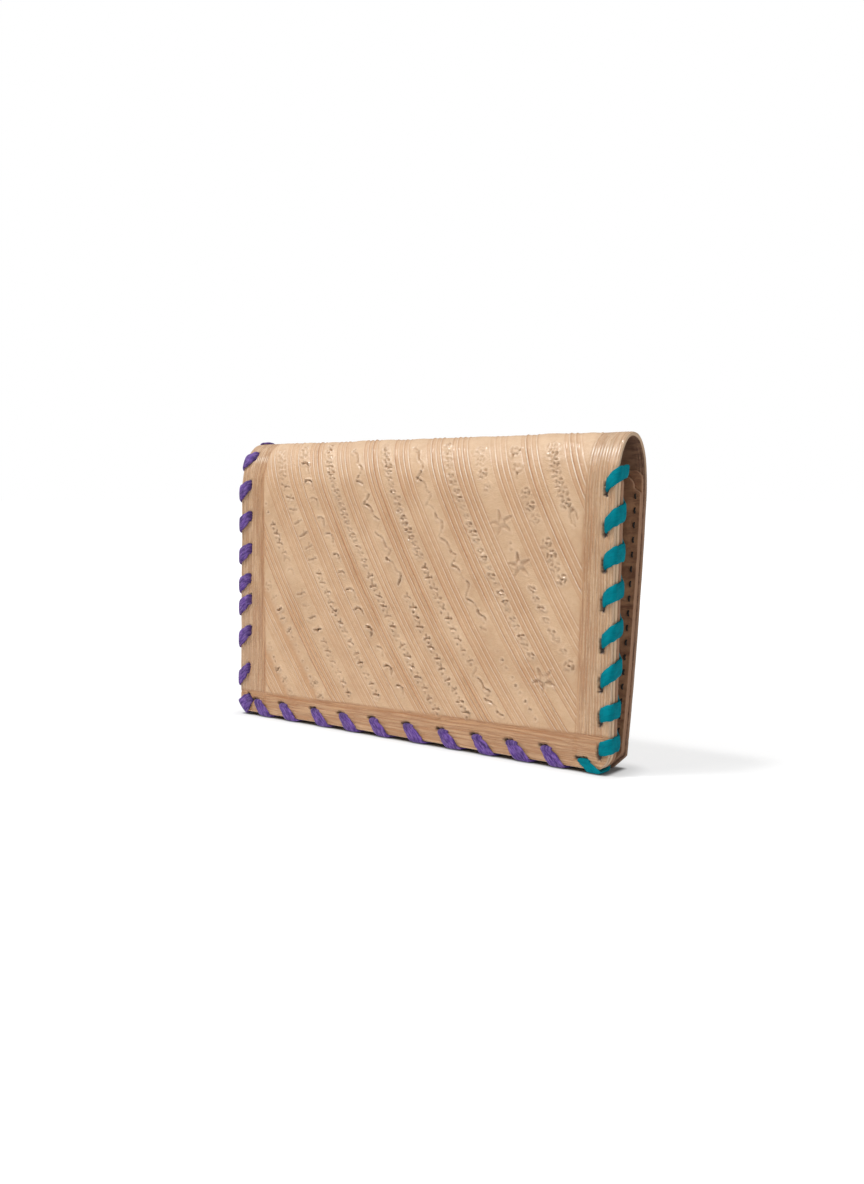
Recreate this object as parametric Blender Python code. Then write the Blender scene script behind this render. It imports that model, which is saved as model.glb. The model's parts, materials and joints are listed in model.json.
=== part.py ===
"""Folded clutch of hand-tooled leather, laced with flat suede down both sides and along the bottom.

The outer leather is one sheet folded over at the top, and it opens there like a book's cover.
The front half has two inner leathers laced to it, and the back half has a panel and a T-shaped
pocket sewn to it.

Each leather is drawn, tooled and punched flat, in sheet coordinates, and then bent onto the fold:
    x  across the sheet, 0 at its left edge
    s  along the outer surface: 0 at the front's bottom edge, up over the fold and down the back
    h  height above the outer surface, negative into the leather
Lengths are in metres. In the world X runs across the clutch, Y from front to back, and Z up.
"""
import math

import bmesh
import bpy
import numpy as np

# Overall form
WIDTH = 0.155
HEIGHT = 0.100
CREST_DEPTH = 0.0124
FRONT_LEAN = math.radians(1.44)
FRONT_SHOULDER_Z = 0.0812
FRONT_SHOULDER_RISE = 0.0104
FRONT_CREST_RUN = 0.0057
BACK_FOOT_DEPTH = 0.0112
BACK_SHOULDER_DEPTH = 0.0213
BACK_SHOULDER_Z = 0.078
BACK_BOW = 0.0009
BACK_SHOULDER_RISE = 0.0165
BACK_CREST_RUN = 0.0060

# Leather
COVER_THICK = 0.0013
LINING_THICK = 0.0015
POCKET_THICK = 0.0015
BACK_LAYER_THICK = 0.0009
LAYER_GAP = 0.0003
FOLD_GAP = 0.0003
FRONT_CORNER_RADIUS = 0.0055
BACK_CORNER_CLIP = 0.0042
LINING_HEIGHT = 0.0888
SLIP_POCKET_HEIGHT = 0.0870
LAYER_CORNER_RADIUS = 0.003

# Back half's panel and T-shaped pocket
PANEL_TOP_Z = 0.0890
PANEL_INSET = 0.0005
T_TOP_Z = 0.0870
T_STEP_Z = 0.0830
T_STEP_DROP = 0.0008
T_NECK_INSET = 0.0028
PANEL_FOOT_GAP = 0.0006

# Stitching of the back half
STITCH_PITCH = 0.0044
BOTTOM_STITCH_PITCH = 0.0088
STITCH_INSET = 0.0022
STITCH_TOP_Z = 0.0810
THREAD_THICK = 0.0005
THREAD_WIDTH = 0.0006
THREAD_GAP = 0.0003
THREAD_TURN = 0.0009

# Lacing
LACE_WIDTH = 0.0053
LACE_PINCH = 0.0036
LACE_THICK = 0.0008
LACE_GAP = 0.0003
PURPLE_LEAN = 0.0030
BOTTOM_LEAN = 0.0037
TEAL_LEAN = 0.0023
TEAL_CORNER_LEAN = 0.0031
LACE_EDGE_LEAN = 0.40
PURPLE_INSET = 0.0048
BOTTOM_INSET = 0.0045
TEAL_INSET = 0.0031
TEAL_CORNER_INSET = 0.0030
TEAL_CORNER_FROM_EDGE = 0.0082
LEFT_TOP_HOLE_FROM_CREST = 0.0085
LEFT_LOW_HOLE = 0.0163
CORNER_INSET = 0.0048
BOTTOM_FIRST_HOLE = 0.0098
BOTTOM_LAST_HOLE_FROM_RIGHT = 0.0207
RIGHT_LOW_HOLE = 0.0066
RIGHT_TOP_HOLE_FROM_CREST = 0.0200
CREST_LACE_PAST_CREST = 0.0028
CREST_LACE_INSET = 0.0042
LACE_TAIL = 0.0010

# How far each hand-punched hole sits from an even spacing
LEFT_DRIFT = (0, 0, 0, -0.0009, -0.0006, 0.0031, 0.0026, 0)
BOTTOM_DRIFT = (-0.0003, -0.0012, 0.0007, 0.0003, 0.0004, 0.0015, 0.0020, 0.0017, 0.0008, -0.0005)
RIGHT_DRIFT = (0, -0.0010, -0.0019, -0.0014, -0.0004, -0.0001, -0.0007, 0)

# Tooling: slanting bands of pressed lines, with rows of stamps between them
FRAME_SIDE = 0.0120
FRAME_BOTTOM = 0.0088
FRAME_CLEARANCE = 0.0010
BAND_SET_OUT = 0.0938
BAND_FIRST = -0.0255
BAND_PITCH = 0.0125
BAND_SLOPE = 0.44
BAND_CURL = 2.0
BAND_HALF = 0.0012
LINE_WIDTH = 0.0008
LINE_DEPTH = 0.0004
BAND_DRIFT = (-0.0075, -0.0050, -0.0020, 0, -0.0005, -0.0020, -0.0015,
              -0.0015, -0.0005, 0.0005, -0.0015, 0.0005, -0.0005, 0.0025)
BAR_LENGTH = 0.0030
BAR_PITCH = 0.0044
SCALLOP_WIDTH = 0.0042
SCALLOP_RISE = 0.0016
SCALLOP_PITCH = 0.0074
STAMP_WIDTH = 0.0007
STAR_RADIUS = 0.0042
STAR_WAIST = 0.42

# Rows of stamps: strip number, kind of stamp, and the row's top and bottom along the sheet
STAMP_ROWS = (
    (1, "bars", 0.044, 0.031),
    (2, "bars", 0.061, 0.013),
    (3, "bars", 0.089, 0.013),
    (4, "scallops", 0.083, 0.015),
    (5, "bars", 0.094, 0.015),
    (6, "scallops", 0.089, 0.059),
    (6, "bars", 0.053, 0.014),
    (7, "bars", 0.095, 0.041),
    (7, "scallops", 0.033, 0.014),
    (8, "scallops", 0.091, 0.037),
    (9, "bars", 0.093, 0.037),
    (10, "bars", 0.051, 0.037),
    (11, "scallops", 0.085, 0.063),
    (12, "bars", 0.095, 0.079),
)
# Five-pointed stars: strip number and place along the sheet
STARS = ((9, 0.025), (10, 0.072), (10, 0.059))

# Facets
PROFILE_STEPS = 400
FRONT_FOLD_FACETS = 5
BACK_FOLD_FACETS = 5
BACK_PANEL_FACETS = 2
CORNER_FACETS = 4
LINE_FACETS = 3
SCALLOP_FACETS = 3
CUTTER_OVERRUN = 0.0010
CUT_LIFT = 0.0003

LACE_STANDOFF = LACE_GAP + LACE_THICK
LACE_CENTRE = LACE_GAP + LACE_THICK / 2
FRONT_STACK = COVER_THICK + LAYER_GAP + LINING_THICK + LAYER_GAP + POCKET_THICK
BACK_STACK = COVER_THICK + 2 * (LAYER_GAP + BACK_LAYER_THICK)
THREAD_STANDOFF = THREAD_GAP + THREAD_THICK
STITCH_SLOT_LENGTH = THREAD_TURN + THREAD_THICK + 2 * THREAD_GAP
STITCH_SLOT_WIDTH = THREAD_WIDTH + 2 * THREAD_GAP

TAN = (0.76, 0.59, 0.42)
PALE_TAN = (0.72, 0.55, 0.39)
FLESH_BROWN = (0.36, 0.24, 0.17)
PURPLE = (0.19, 0.10, 0.38)
TEAL = (0.0, 0.25, 0.30)
DARK_THREAD = (0.03, 0.025, 0.02)


def clear_scene():
    """Start from an empty file without closing it."""
    for thing in list(bpy.data.objects):
        bpy.data.objects.remove(thing, do_unlink=True)


def leather_material(name, colour, roughness):
    """A plain Principled finish for one piece."""
    material = bpy.data.materials.new(name)
    material.use_nodes = True
    shader = material.node_tree.nodes["Principled BSDF"]
    shader.inputs["Base Color"].default_value = (*colour, 1.0)
    shader.inputs["Roughness"].default_value = roughness
    shader.inputs["Metallic"].default_value = 0.0
    return material


def bezier(start, pull_out, pull_in, end, steps):
    """Points of a cubic curve from start to end, drawn by its two pulled handles."""
    t = np.linspace(0.0, 1.0, steps)[:, None]
    ends = (1 - t) ** 3 * np.array(start) + t ** 3 * np.array(end)
    return ends + 3 * (1 - t) ** 2 * t * np.array(pull_out) + 3 * (1 - t) * t ** 2 * np.array(pull_in)


def fold_profile():
    """The outer surface seen from the right end: depth and height along the sheet.

    A leaning straight front that stands on its lacing, a shoulder curve to the crest, another down
    to the back, and a slightly bowed back that comes in to its foot on the floor.
    """
    crest = (CREST_DEPTH, HEIGHT)
    start_z = LACE_STANDOFF * math.cos(FRONT_LEAN) + FRONT_STACK * math.sin(FRONT_LEAN)
    front_z = np.linspace(start_z, FRONT_SHOULDER_Z, PROFILE_STEPS)
    front = np.stack([front_z * math.tan(FRONT_LEAN), front_z], axis=1)
    shoulder = front[-1]
    rise = FRONT_SHOULDER_RISE * np.array([math.sin(FRONT_LEAN), math.cos(FRONT_LEAN)])
    up = bezier(shoulder, shoulder + rise, (CREST_DEPTH - FRONT_CREST_RUN, HEIGHT), crest, PROFILE_STEPS)

    part = np.linspace(1.0, 0.0, PROFILE_STEPS)
    straight = BACK_FOOT_DEPTH + (BACK_SHOULDER_DEPTH - BACK_FOOT_DEPTH) * part
    bowed = straight + 4 * BACK_BOW * part * (1 - part)
    back = np.stack([bowed, BACK_SHOULDER_Z * part], axis=1)
    slope = (BACK_SHOULDER_DEPTH - BACK_FOOT_DEPTH - 4 * BACK_BOW) / BACK_SHOULDER_Z
    pull = back[0] + BACK_SHOULDER_RISE * np.array([slope, 1.0]) / math.hypot(slope, 1.0)
    down = bezier(crest, (CREST_DEPTH + BACK_CREST_RUN, HEIGHT), pull, back[0], PROFILE_STEPS)

    points = np.concatenate([front, up[1:], down[1:], back[1:]])
    along = np.concatenate([[0.0], np.cumsum(np.hypot(*np.diff(points, axis=0).T))])
    marks = np.cumsum([len(front) - 1, len(up) - 1, len(down) - 1, len(back) - 1])
    return points, along, along[marks]


PROFILE, ALONG, (S_FRONT_SHOULDER, S_CREST, S_BACK_SHOULDER, S_FOOT) = fold_profile()
TANGENT = np.gradient(PROFILE, ALONG, axis=0)
TANGENT /= np.linalg.norm(TANGENT, axis=1)[:, None]
DEPTH_CENTRE = (PROFILE[:, 0].max() + THREAD_STANDOFF - LACE_STANDOFF) / 2


def back_at(height):
    """How far along the sheet the back half comes down to this height."""
    behind = ALONG >= S_CREST
    return float(np.interp(-height, -PROFILE[behind, 1], ALONG[behind]))


def bend(flat):
    """Carry sheet points (x, s, h) onto the folded clutch, in world coordinates."""
    flat = np.asarray(flat, dtype=float)
    x, s, h = flat.T
    inside = np.clip(s, 0.0, S_FOOT)
    past = s - inside
    tangent = np.stack([np.interp(inside, ALONG, TANGENT[:, i]) for i in (0, 1)], axis=1)
    tangent /= np.linalg.norm(tangent, axis=1)[:, None]
    place = np.stack([np.interp(inside, ALONG, PROFILE[:, i]) for i in (0, 1)], axis=1)
    depth = place[:, 0] + past * tangent[:, 0] - h * tangent[:, 1]
    height = place[:, 1] + past * tangent[:, 1] + h * tangent[:, 0]
    return np.stack([x - WIDTH / 2, depth - DEPTH_CENTRE, height], axis=1)


def new_object(name, verts, faces):
    """An object from plain lists of corners and faces."""
    mesh = bpy.data.meshes.new(name)
    mesh.from_pydata([tuple(v) for v in verts], [], [tuple(f) for f in faces])
    thing = bpy.data.objects.new(name, mesh)
    bpy.context.scene.collection.objects.link(thing)
    return thing


def arc(centre, radius, start_deg, end_deg):
    """Points of a quarter corner, in sheet coordinates."""
    turns = np.radians(np.linspace(start_deg, end_deg, CORNER_FACETS + 1))
    return [(centre[0] + radius * math.cos(a), centre[1] + radius * math.sin(a)) for a in turns]


def front_outline(top, top_radius):
    """A front leather: rounded bottom corners, and top corners rounded where it has its own edge."""
    r = FRONT_CORNER_RADIUS
    outline = arc((r, r), r, 180, 270) + arc((WIDTH - r, r), r, 270, 360)
    if top_radius == 0:
        return outline + [(WIDTH, top), (0.0, top)]
    t = top_radius
    return outline + arc((WIDTH - t, top - t), t, 0, 90) + arc((t, top - t), t, 90, 180)


def cover_back_outline(top):
    """The back half of the cover: square at the fold, its bottom corners clipped off."""
    c = BACK_CORNER_CLIP
    return [(0.0, top), (WIDTH, top), (WIDTH, S_FOOT - c), (WIDTH - c, S_FOOT), (c, S_FOOT), (0.0, S_FOOT - c)]


def panel_foot(inset):
    """The bottom of a back leather, clipped like the cover and a little short of the floor."""
    c = BACK_CORNER_CLIP
    foot = S_FOOT - PANEL_FOOT_GAP
    return [(WIDTH - inset, foot - c), (WIDTH - inset - c, foot), (inset + c, foot), (inset, foot - c)]


def panel_outline():
    """The tall inner panel, with rounded top corners."""
    r = LAYER_CORNER_RADIUS
    top = back_at(PANEL_TOP_Z)
    left = arc((PANEL_INSET + r, top + r), r, 180, 270)
    right = arc((WIDTH - PANEL_INSET - r, top + r), r, 270, 360)
    return left + right + panel_foot(PANEL_INSET)


def t_pocket_outline():
    """The T-shaped pocket: a narrow rounded neck above full-width shoulders."""
    r = LAYER_CORNER_RADIUS
    top = back_at(T_TOP_Z)
    step = back_at(T_STEP_Z)
    drop = back_at(T_STEP_Z - T_STEP_DROP)
    neck = T_NECK_INSET
    left = [(PANEL_INSET, drop), (neck, step)] + arc((neck + r, top + r), r, 180, 270)
    right = arc((WIDTH - neck - r, top + r), r, 270, 360) + [(WIDTH - neck, step), (WIDTH - PANEL_INSET, drop)]
    return left + right + panel_foot(PANEL_INSET)


def flat_plate(name, outline, top, thickness):
    """A flat leather of this outline, from height top down through its thickness."""
    count = len(outline)
    verts = [(x, s, top) for x, s in outline] + [(x, s, top - thickness) for x, s in outline]
    faces = [tuple(range(count)), tuple(range(2 * count - 1, count - 1, -1))]
    faces += [(i, i + count, (i + 1) % count + count, (i + 1) % count) for i in range(count)]
    plate = new_object(name, verts, faces)
    face_outwards(plate.data)
    return plate


def turn_outwards(work):
    """Point every face of a closed bmesh outwards."""
    bmesh.ops.recalc_face_normals(work, faces=work.faces)
    if work.calc_volume(signed=True) < 0:
        bmesh.ops.reverse_faces(work, faces=work.faces)


def face_outwards(mesh):
    """Point every face of a closed mesh outwards."""
    work = bmesh.new()
    work.from_mesh(mesh)
    turn_outwards(work)
    work.to_mesh(mesh)
    work.free()


class Cutter:
    """Closed cutting shapes gathered into one object, in sheet coordinates."""

    def __init__(self):
        self.verts = []
        self.faces = []

    def add(self, verts, faces):
        base = len(self.verts)
        self.verts += list(verts)
        self.faces += [tuple(base + i for i in face) for face in faces]

    def slot(self, centre, along, length, width, top, bottom):
        """A straight-sided slot through the leather."""
        across = (-along[1], along[0])
        corners = []
        for h in (top, bottom):
            for a, b in ((-1, -1), (1, -1), (1, 1), (-1, 1)):
                x = centre[0] + a * length / 2 * along[0] + b * width / 2 * across[0]
                s = centre[1] + a * length / 2 * along[1] + b * width / 2 * across[1]
                corners.append((x, s, h))
        self.add(corners, ((0, 1, 2, 3), (7, 6, 5, 4), (0, 4, 5, 1), (1, 5, 6, 2), (2, 6, 7, 3), (3, 7, 4, 0)))

    def pressed_line(self, path, width):
        """A V-shaped line pressed into the outer face along a path of points."""
        path = np.asarray(path, dtype=float)
        step = np.diff(path, axis=0)
        step /= np.linalg.norm(step, axis=1)[:, None]
        side = np.stack([-step[:, 1], step[:, 0]], axis=1)
        mitre = np.concatenate([side[:1], side[:-1] + side[1:], side[-1:]])
        mitre /= np.linalg.norm(mitre, axis=1)[:, None]
        reach = np.concatenate([side, side[-1:]])
        mitre /= np.sum(mitre * reach, axis=1)[:, None]
        half = width / 2 * (LINE_DEPTH + CUT_LIFT) / LINE_DEPTH
        verts = []
        for point, out in zip(path, mitre):
            verts.append((*(point + half * out), CUT_LIFT))
            verts.append((*(point - half * out), CUT_LIFT))
            verts.append((*point, -LINE_DEPTH))
        faces = [(0, 1, 2)]
        for i in range(len(path) - 1):
            a = 3 * i
            faces += [(a, a + 3, a + 4, a + 1), (a + 1, a + 4, a + 5, a + 2), (a + 2, a + 5, a + 3, a)]
        last = 3 * (len(path) - 1)
        faces.append((last + 2, last + 1, last))
        self.add(verts, faces)

    def star(self, centre):
        """A five-pointed star pressed deepest at its middle."""
        grow = (LINE_DEPTH + CUT_LIFT) / LINE_DEPTH
        verts = []
        for i in range(10):
            reach = grow * STAR_RADIUS * (1.0 if i % 2 == 0 else STAR_WAIST)
            turn = math.pi / 2 + i * math.pi / 5
            verts.append((centre[0] + reach * math.cos(turn), centre[1] + reach * math.sin(turn), CUT_LIFT))
        verts.append((*centre, -LINE_DEPTH))
        faces = [tuple(range(10))] + [((i + 1) % 10, i, 10) for i in range(10)]
        self.add(verts, faces)

    def build(self, name):
        """The gathered shapes as one hidden cutter, or nothing if there are none."""
        if not self.verts:
            return None
        cutter = new_object(name, self.verts, self.faces)
        face_outwards(cutter.data)
        cutter.hide_render = True
        cutter.display_type = "WIRE"
        return cutter


def cut_and_bend(plate, cutters, colour, roughness):
    """Cut the flat leather, divide it along the fold's facets, bend it and give it its finish."""
    cutters = [c for c in cutters if c is not None]
    for cutter in cutters:
        cut = plate.modifiers.new(cutter.name, "BOOLEAN")
        cut.operation = "DIFFERENCE"
        cut.solver = "EXACT"
        cut.object = cutter
    bpy.context.view_layer.update()
    graph = bpy.context.evaluated_depsgraph_get()
    mesh = bpy.data.meshes.new_from_object(plate.evaluated_get(graph))
    plate.modifiers.clear()
    for cutter in cutters:
        bpy.data.objects.remove(cutter, do_unlink=True)

    bend_mesh(mesh)
    finish(plate, mesh, colour, roughness)


def bend_mesh(mesh):
    """Divide a flat mesh along the fold's facets and bend it onto the clutch."""
    work = bmesh.new()
    work.from_mesh(mesh)
    bmesh.ops.triangulate(work, faces=work.faces)
    for s in fold_lines():
        everything = work.verts[:] + work.edges[:] + work.faces[:]
        bmesh.ops.bisect_plane(work, geom=everything, plane_co=(0, s, 0), plane_no=(0, 1, 0), dist=1e-7)
    bmesh.ops.dissolve_degenerate(work, edges=work.edges, dist=1e-7)
    bmesh.ops.triangulate(work, faces=work.faces)
    flat = np.array([v.co for v in work.verts])
    for vert, place in zip(work.verts, level_foot(flat, bend(flat))):
        vert.co = place
    turn_outwards(work)
    work.to_mesh(mesh)
    work.free()


def fold_lines():
    """Where the bent leather gets its facets: more over the fold, few down the bowed back."""
    front = np.linspace(S_FRONT_SHOULDER, S_CREST, FRONT_FOLD_FACETS + 1)
    over = np.linspace(S_CREST, S_BACK_SHOULDER, BACK_FOLD_FACETS + 1)
    down = np.linspace(S_BACK_SHOULDER, S_FOOT, BACK_PANEL_FACETS + 1)
    return [*front[:-1], *over[1:-1], *down[:-1]]


def level_foot(flat, world):
    """Trim the cover's bottom edge level with the floor it stands on."""
    at_foot = np.abs(flat[:, 1] - S_FOOT) < 1e-6
    drop = world[at_foot, 2] / TANGENT[-1, 1]
    world[at_foot, 1] -= drop * TANGENT[-1, 0]
    world[at_foot, 2] = 0.0
    return world


def finish(thing, mesh, colour, roughness):
    """Swap in the final mesh with its material and soft shading."""
    old = thing.data
    thing.data = mesh
    bpy.data.meshes.remove(old)
    mesh.name = thing.name
    mesh.materials.clear()
    mesh.materials.append(leather_material(thing.name, colour, roughness))
    mesh.shade_smooth()
    mesh.set_sharp_from_angle(angle=math.radians(35))


def band_x(number, s):
    """Where a slanting band lies across the sheet: straight over the fold, curling below it."""
    drift = BAND_DRIFT[number] if number < len(BAND_DRIFT) else 0.0
    below = BAND_SET_OUT - s
    return BAND_FIRST + number * BAND_PITCH + drift + BAND_SLOPE * below + BAND_CURL * np.maximum(below, 0) ** 2


def band_count():
    """As many bands as it takes to reach the sheet's far corner."""
    reach = WIDTH - BAND_FIRST + BAND_SLOPE * (S_FOOT - BAND_SET_OUT)
    return int(reach / BAND_PITCH)


def tooled_lines(cutter, s_from, s_to, shifts):
    """Pressed lines for each band, inside the frame and between two places along the sheet."""
    low = FRAME_SIDE + FRAME_CLEARANCE
    high = WIDTH - FRAME_SIDE - FRAME_CLEARANCE
    s = np.linspace(s_from, s_to, PROFILE_STEPS)
    for number in range(band_count()):
        for shift in shifts:
            x = band_x(number, s) + shift
            held = s[(x > low) & (x < high)]
            if len(held) < 2 or held[-1] - held[0] < BAND_PITCH / 2:
                continue
            line = np.linspace(held[0], held[-1], LINE_FACETS + 1)
            cutter.pressed_line(np.stack([band_x(number, line) + shift, line], axis=1), LINE_WIDTH)


def strip_point(number, s):
    """The middle of the strip to the right of a band, and its direction up the sheet."""
    ahead = 1e-4
    here = np.array([(band_x(number, s) + band_x(number + 1, s)) / 2, s])
    there = np.array([(band_x(number, s + ahead) + band_x(number + 1, s + ahead)) / 2, s + ahead])
    return here, (there - here) / np.linalg.norm(there - here)


def stamp_row(cutter, number, kind, top, bottom):
    """A row of bars or scallops down the middle of one strip."""
    pitch = BAR_PITCH if kind == "bars" else SCALLOP_PITCH
    half = (BAR_LENGTH if kind == "bars" else SCALLOP_WIDTH) / 2
    for s in np.arange(top, bottom, -pitch):
        middle, up = strip_point(number, s)
        across = np.array([up[1], -up[0]])
        if not FRAME_SIDE + half < middle[0] < WIDTH - FRAME_SIDE - half:
            continue
        if kind == "bars":
            cutter.pressed_line([middle - half * across, middle + half * across], STAMP_WIDTH)
            continue
        sweep = np.linspace(-1.0, 1.0, SCALLOP_FACETS + 1)[:, None]
        curve = middle + half * sweep * across + SCALLOP_RISE * (1 - sweep ** 2) * up
        cutter.pressed_line(curve, STAMP_WIDTH)


class LaceTurn:
    """One whip stitch: where it crosses the edge, which way is inwards, and which way it travels."""

    def __init__(self, edge, inward, travel, inset, lean, edge_lean=LACE_EDGE_LEAN,
                 hole_depth=FRONT_STACK, wrap_depth=FRONT_STACK, width=LACE_WIDTH):
        self.edge = np.array(edge, dtype=float)
        self.inward = np.array(inward, dtype=float)
        self.travel = np.array(travel, dtype=float)
        self.inset = inset
        self.lean = lean
        self.edge_lean = edge_lean
        self.width = width
        self.hole_depth = hole_depth
        self.wrap_depth = wrap_depth

    def hole(self):
        return self.edge + self.inset * self.inward - self.lean * self.travel

    def sections(self):
        """Ribbon sections of this turn: up through the hole, over the face and round the edge.

        Each is (inward, height, outward direction of the ribbon's face, travel, width).
        The lace keeps LACE_CENTRE off the leather it wraps, and turns its corners in steps of
        45 degrees about the leather's own corners. Round the edge it goes on travelling, by
        edge_lean times the way it has gone.
        """
        c = LACE_CENTRE
        d = c * math.sqrt(0.5)
        m = self.inset
        deep = -self.hole_depth
        wrap = -self.wrap_depth
        through = ((m - c, deep - c, (0, -1)), (m - c + d, deep - d, (1, -1)), (m, deep, (1, 0)),
                   (m, 0.0, (1, 0)), (m - c + d, d, (1, 1)), (m - c, c, (0, 1)))
        over = ((0.0, c, (0, 1)), (-d, d, (-1, 1)), (-c, 0.0, (-1, 0)),
                (-c, wrap, (-1, 0)), (-d, wrap - d, (-1, -1)), (0.0, wrap - c, (0, -1)))
        sections = [(*place, -self.lean, LACE_PINCH) for place in through]
        gone = 0.0
        for last, place in zip(over[:1] + over, over):
            gone += math.hypot(place[0] - last[0], place[1] - last[1])
            sections.append((*place, self.edge_lean * gone, self.width))
        return sections


def left_turns():
    top = S_CREST - LEFT_TOP_HOLE_FROM_CREST
    places = np.linspace(top, LEFT_LOW_HOLE, len(LEFT_DRIFT)) + np.array(LEFT_DRIFT)
    turns = [LaceTurn((0, s - PURPLE_LEAN), (1, 0), (0, -1), PURPLE_INSET, PURPLE_LEAN) for s in places]
    turns[0].hole_depth = COVER_THICK
    return turns


def corner_turn():
    """The stitch over the bottom left corner, square to the corner's curve."""
    reach = FRONT_CORNER_RADIUS * (1 - math.sqrt(0.5))
    half = math.sqrt(0.5)
    return LaceTurn((reach, reach), (half, half), (half, -half), CORNER_INSET, 0.0, edge_lean=0.0)


def bottom_turns():
    last = WIDTH - BOTTOM_LAST_HOLE_FROM_RIGHT
    places = np.linspace(BOTTOM_FIRST_HOLE, last, len(BOTTOM_DRIFT)) + np.array(BOTTOM_DRIFT)
    return [LaceTurn((x + BOTTOM_LEAN, 0), (0, 1), (1, 0), BOTTOM_INSET, BOTTOM_LEAN) for x in places]


def teal_turns():
    top = S_CREST - RIGHT_TOP_HOLE_FROM_CREST
    places = np.linspace(RIGHT_LOW_HOLE, top, len(RIGHT_DRIFT)) + np.array(RIGHT_DRIFT)
    foot_x = WIDTH - TEAL_CORNER_FROM_EDGE + TEAL_CORNER_LEAN
    foot = LaceTurn((foot_x, 0), (0, 1), (1, 0), TEAL_CORNER_INSET, TEAL_CORNER_LEAN, edge_lean=0.0)
    return [foot] + [LaceTurn((WIDTH, s + TEAL_LEAN), (-1, 0), (0, 1), TEAL_INSET, TEAL_LEAN) for s in places]


def lace(name, turns, colour):
    """A flat suede lace through every turn, with a short tucked tail at its end."""
    sections = []
    for turn in turns:
        for m, h, out, e, width in turn.sections():
            centre = turn.edge + m * turn.inward + e * turn.travel
            out = np.array(out) / np.linalg.norm(out)
            normal = np.array([*(out[0] * turn.inward), out[1]])
            sections.append((np.array([*centre, h]), normal, np.array([*turn.travel, 0.0]), width))
    centre, normal, travel, width = sections[-1]
    tail = centre + np.array([*(LACE_TAIL * turns[-1].inward), 0.0])
    sections.append((tail, normal, travel, width))
    return ribbon(name, sections[2:], LACE_THICK, colour)


def ribbon(name, sections, thickness, colour):
    """One closed band through its sections: middle, face direction, width direction and width."""
    flat = []
    for centre, normal, across, width in sections:
        for out, side in ((1, 1), (1, -1), (-1, -1), (-1, 1)):
            flat.append(centre + out * thickness / 2 * normal + side * width / 2 * across)
    faces = [(0, 1, 2, 3)]
    for i in range(len(sections) - 1):
        a = 4 * i
        faces += [(a + k, a + 4 + k, a + 4 + (k + 1) % 4, a + (k + 1) % 4) for k in range(4)]
    last = 4 * (len(sections) - 1)
    faces.append((last + 3, last + 2, last + 1, last))
    band = new_object(name, flat, faces)
    mesh = band.data.copy()
    bend_mesh(mesh)
    finish(band, mesh, colour, 0.9)
    return band


def lace_slots(name, turns, top, thickness, below):
    """The slots that a set of turns needs in one leather that ends at height `below` on the sheet."""
    cutter = Cutter()
    for turn in turns:
        hole = turn.hole()
        length = LACE_PINCH + 2 * LACE_GAP
        if hole[1] > below:
            continue
        cutter.slot(hole, turn.travel, length, LACE_THICK + 2 * LACE_GAP,
                    top + CUTTER_OVERRUN, top - thickness - CUTTER_OVERRUN)
    return cutter.build(name)


def stitch_places():
    """Middle and direction of each stitch slot: down the left side, along the bottom, up the right."""
    start = back_at(STITCH_TOP_Z)
    low = S_FOOT - STITCH_INSET
    side = np.arange(start, low - STITCH_PITCH / 2, STITCH_PITCH)
    count = round((WIDTH - 2 * STITCH_INSET) / BOTTOM_STITCH_PITCH)
    bottom = np.linspace(STITCH_INSET, WIDTH - STITCH_INSET, count + 1)[1:-1]
    places = [((STITCH_INSET, s), (0, 1)) for s in side]
    places += [((x, low), (1, 0)) for x in bottom]
    return places + [((WIDTH - STITCH_INSET, s), (0, -1)) for s in side[::-1]]


def stitch_slots(name, top, thickness):
    """The slots that the thread passes through in one of the back half's leathers."""
    cutter = Cutter()
    for middle, along in stitch_places():
        cutter.slot(middle, along, STITCH_SLOT_LENGTH, STITCH_SLOT_WIDTH,
                    top + CUTTER_OVERRUN, top - thickness - CUTTER_OVERRUN)
    return cutter.build(name)


def make_front_cover(turns):
    """The tooled front half of the outer leather."""
    top = S_CREST - FOLD_GAP / 2
    plate = flat_plate("front_cover", front_outline(top, 0), 0.0, COVER_THICK)
    lines = Cutter()
    past = top + CUTTER_OVERRUN
    left = FRAME_SIDE
    right = WIDTH - FRAME_SIDE
    lines.pressed_line([(left, past), (left, FRAME_BOTTOM), (right, FRAME_BOTTOM), (right, past)], LINE_WIDTH)
    tooled_lines(lines, FRAME_BOTTOM + FRAME_CLEARANCE, past, (-BAND_HALF, BAND_HALF))
    stamps = Cutter()
    for row in STAMP_ROWS:
        stamp_row(stamps, *row)
    for number, s in STARS:
        stamps.star(strip_point(number, s)[0])
    slots = lace_slots("front_cover_slots", turns, 0.0, COVER_THICK, top)
    cut_and_bend(plate, [slots, lines.build("front_lines"), stamps.build("front_stamps")], TAN, 0.45)
    return plate


def make_front_lining(turns):
    top = -COVER_THICK - LAYER_GAP
    plate = flat_plate("front_lining", front_outline(LINING_HEIGHT, LAYER_CORNER_RADIUS), top, LINING_THICK)
    slots = lace_slots("lining_slots", turns, top, LINING_THICK, LINING_HEIGHT)
    cut_and_bend(plate, [slots], PALE_TAN, 0.6)
    return plate


def make_front_pocket(turns):
    top = -COVER_THICK - LINING_THICK - 2 * LAYER_GAP
    outline = front_outline(SLIP_POCKET_HEIGHT, LAYER_CORNER_RADIUS)
    plate = flat_plate("front_pocket", outline, top, POCKET_THICK)
    slots = lace_slots("pocket_slots", turns, top, POCKET_THICK, SLIP_POCKET_HEIGHT)
    cut_and_bend(plate, [slots], FLESH_BROWN, 0.7)
    return plate


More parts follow.
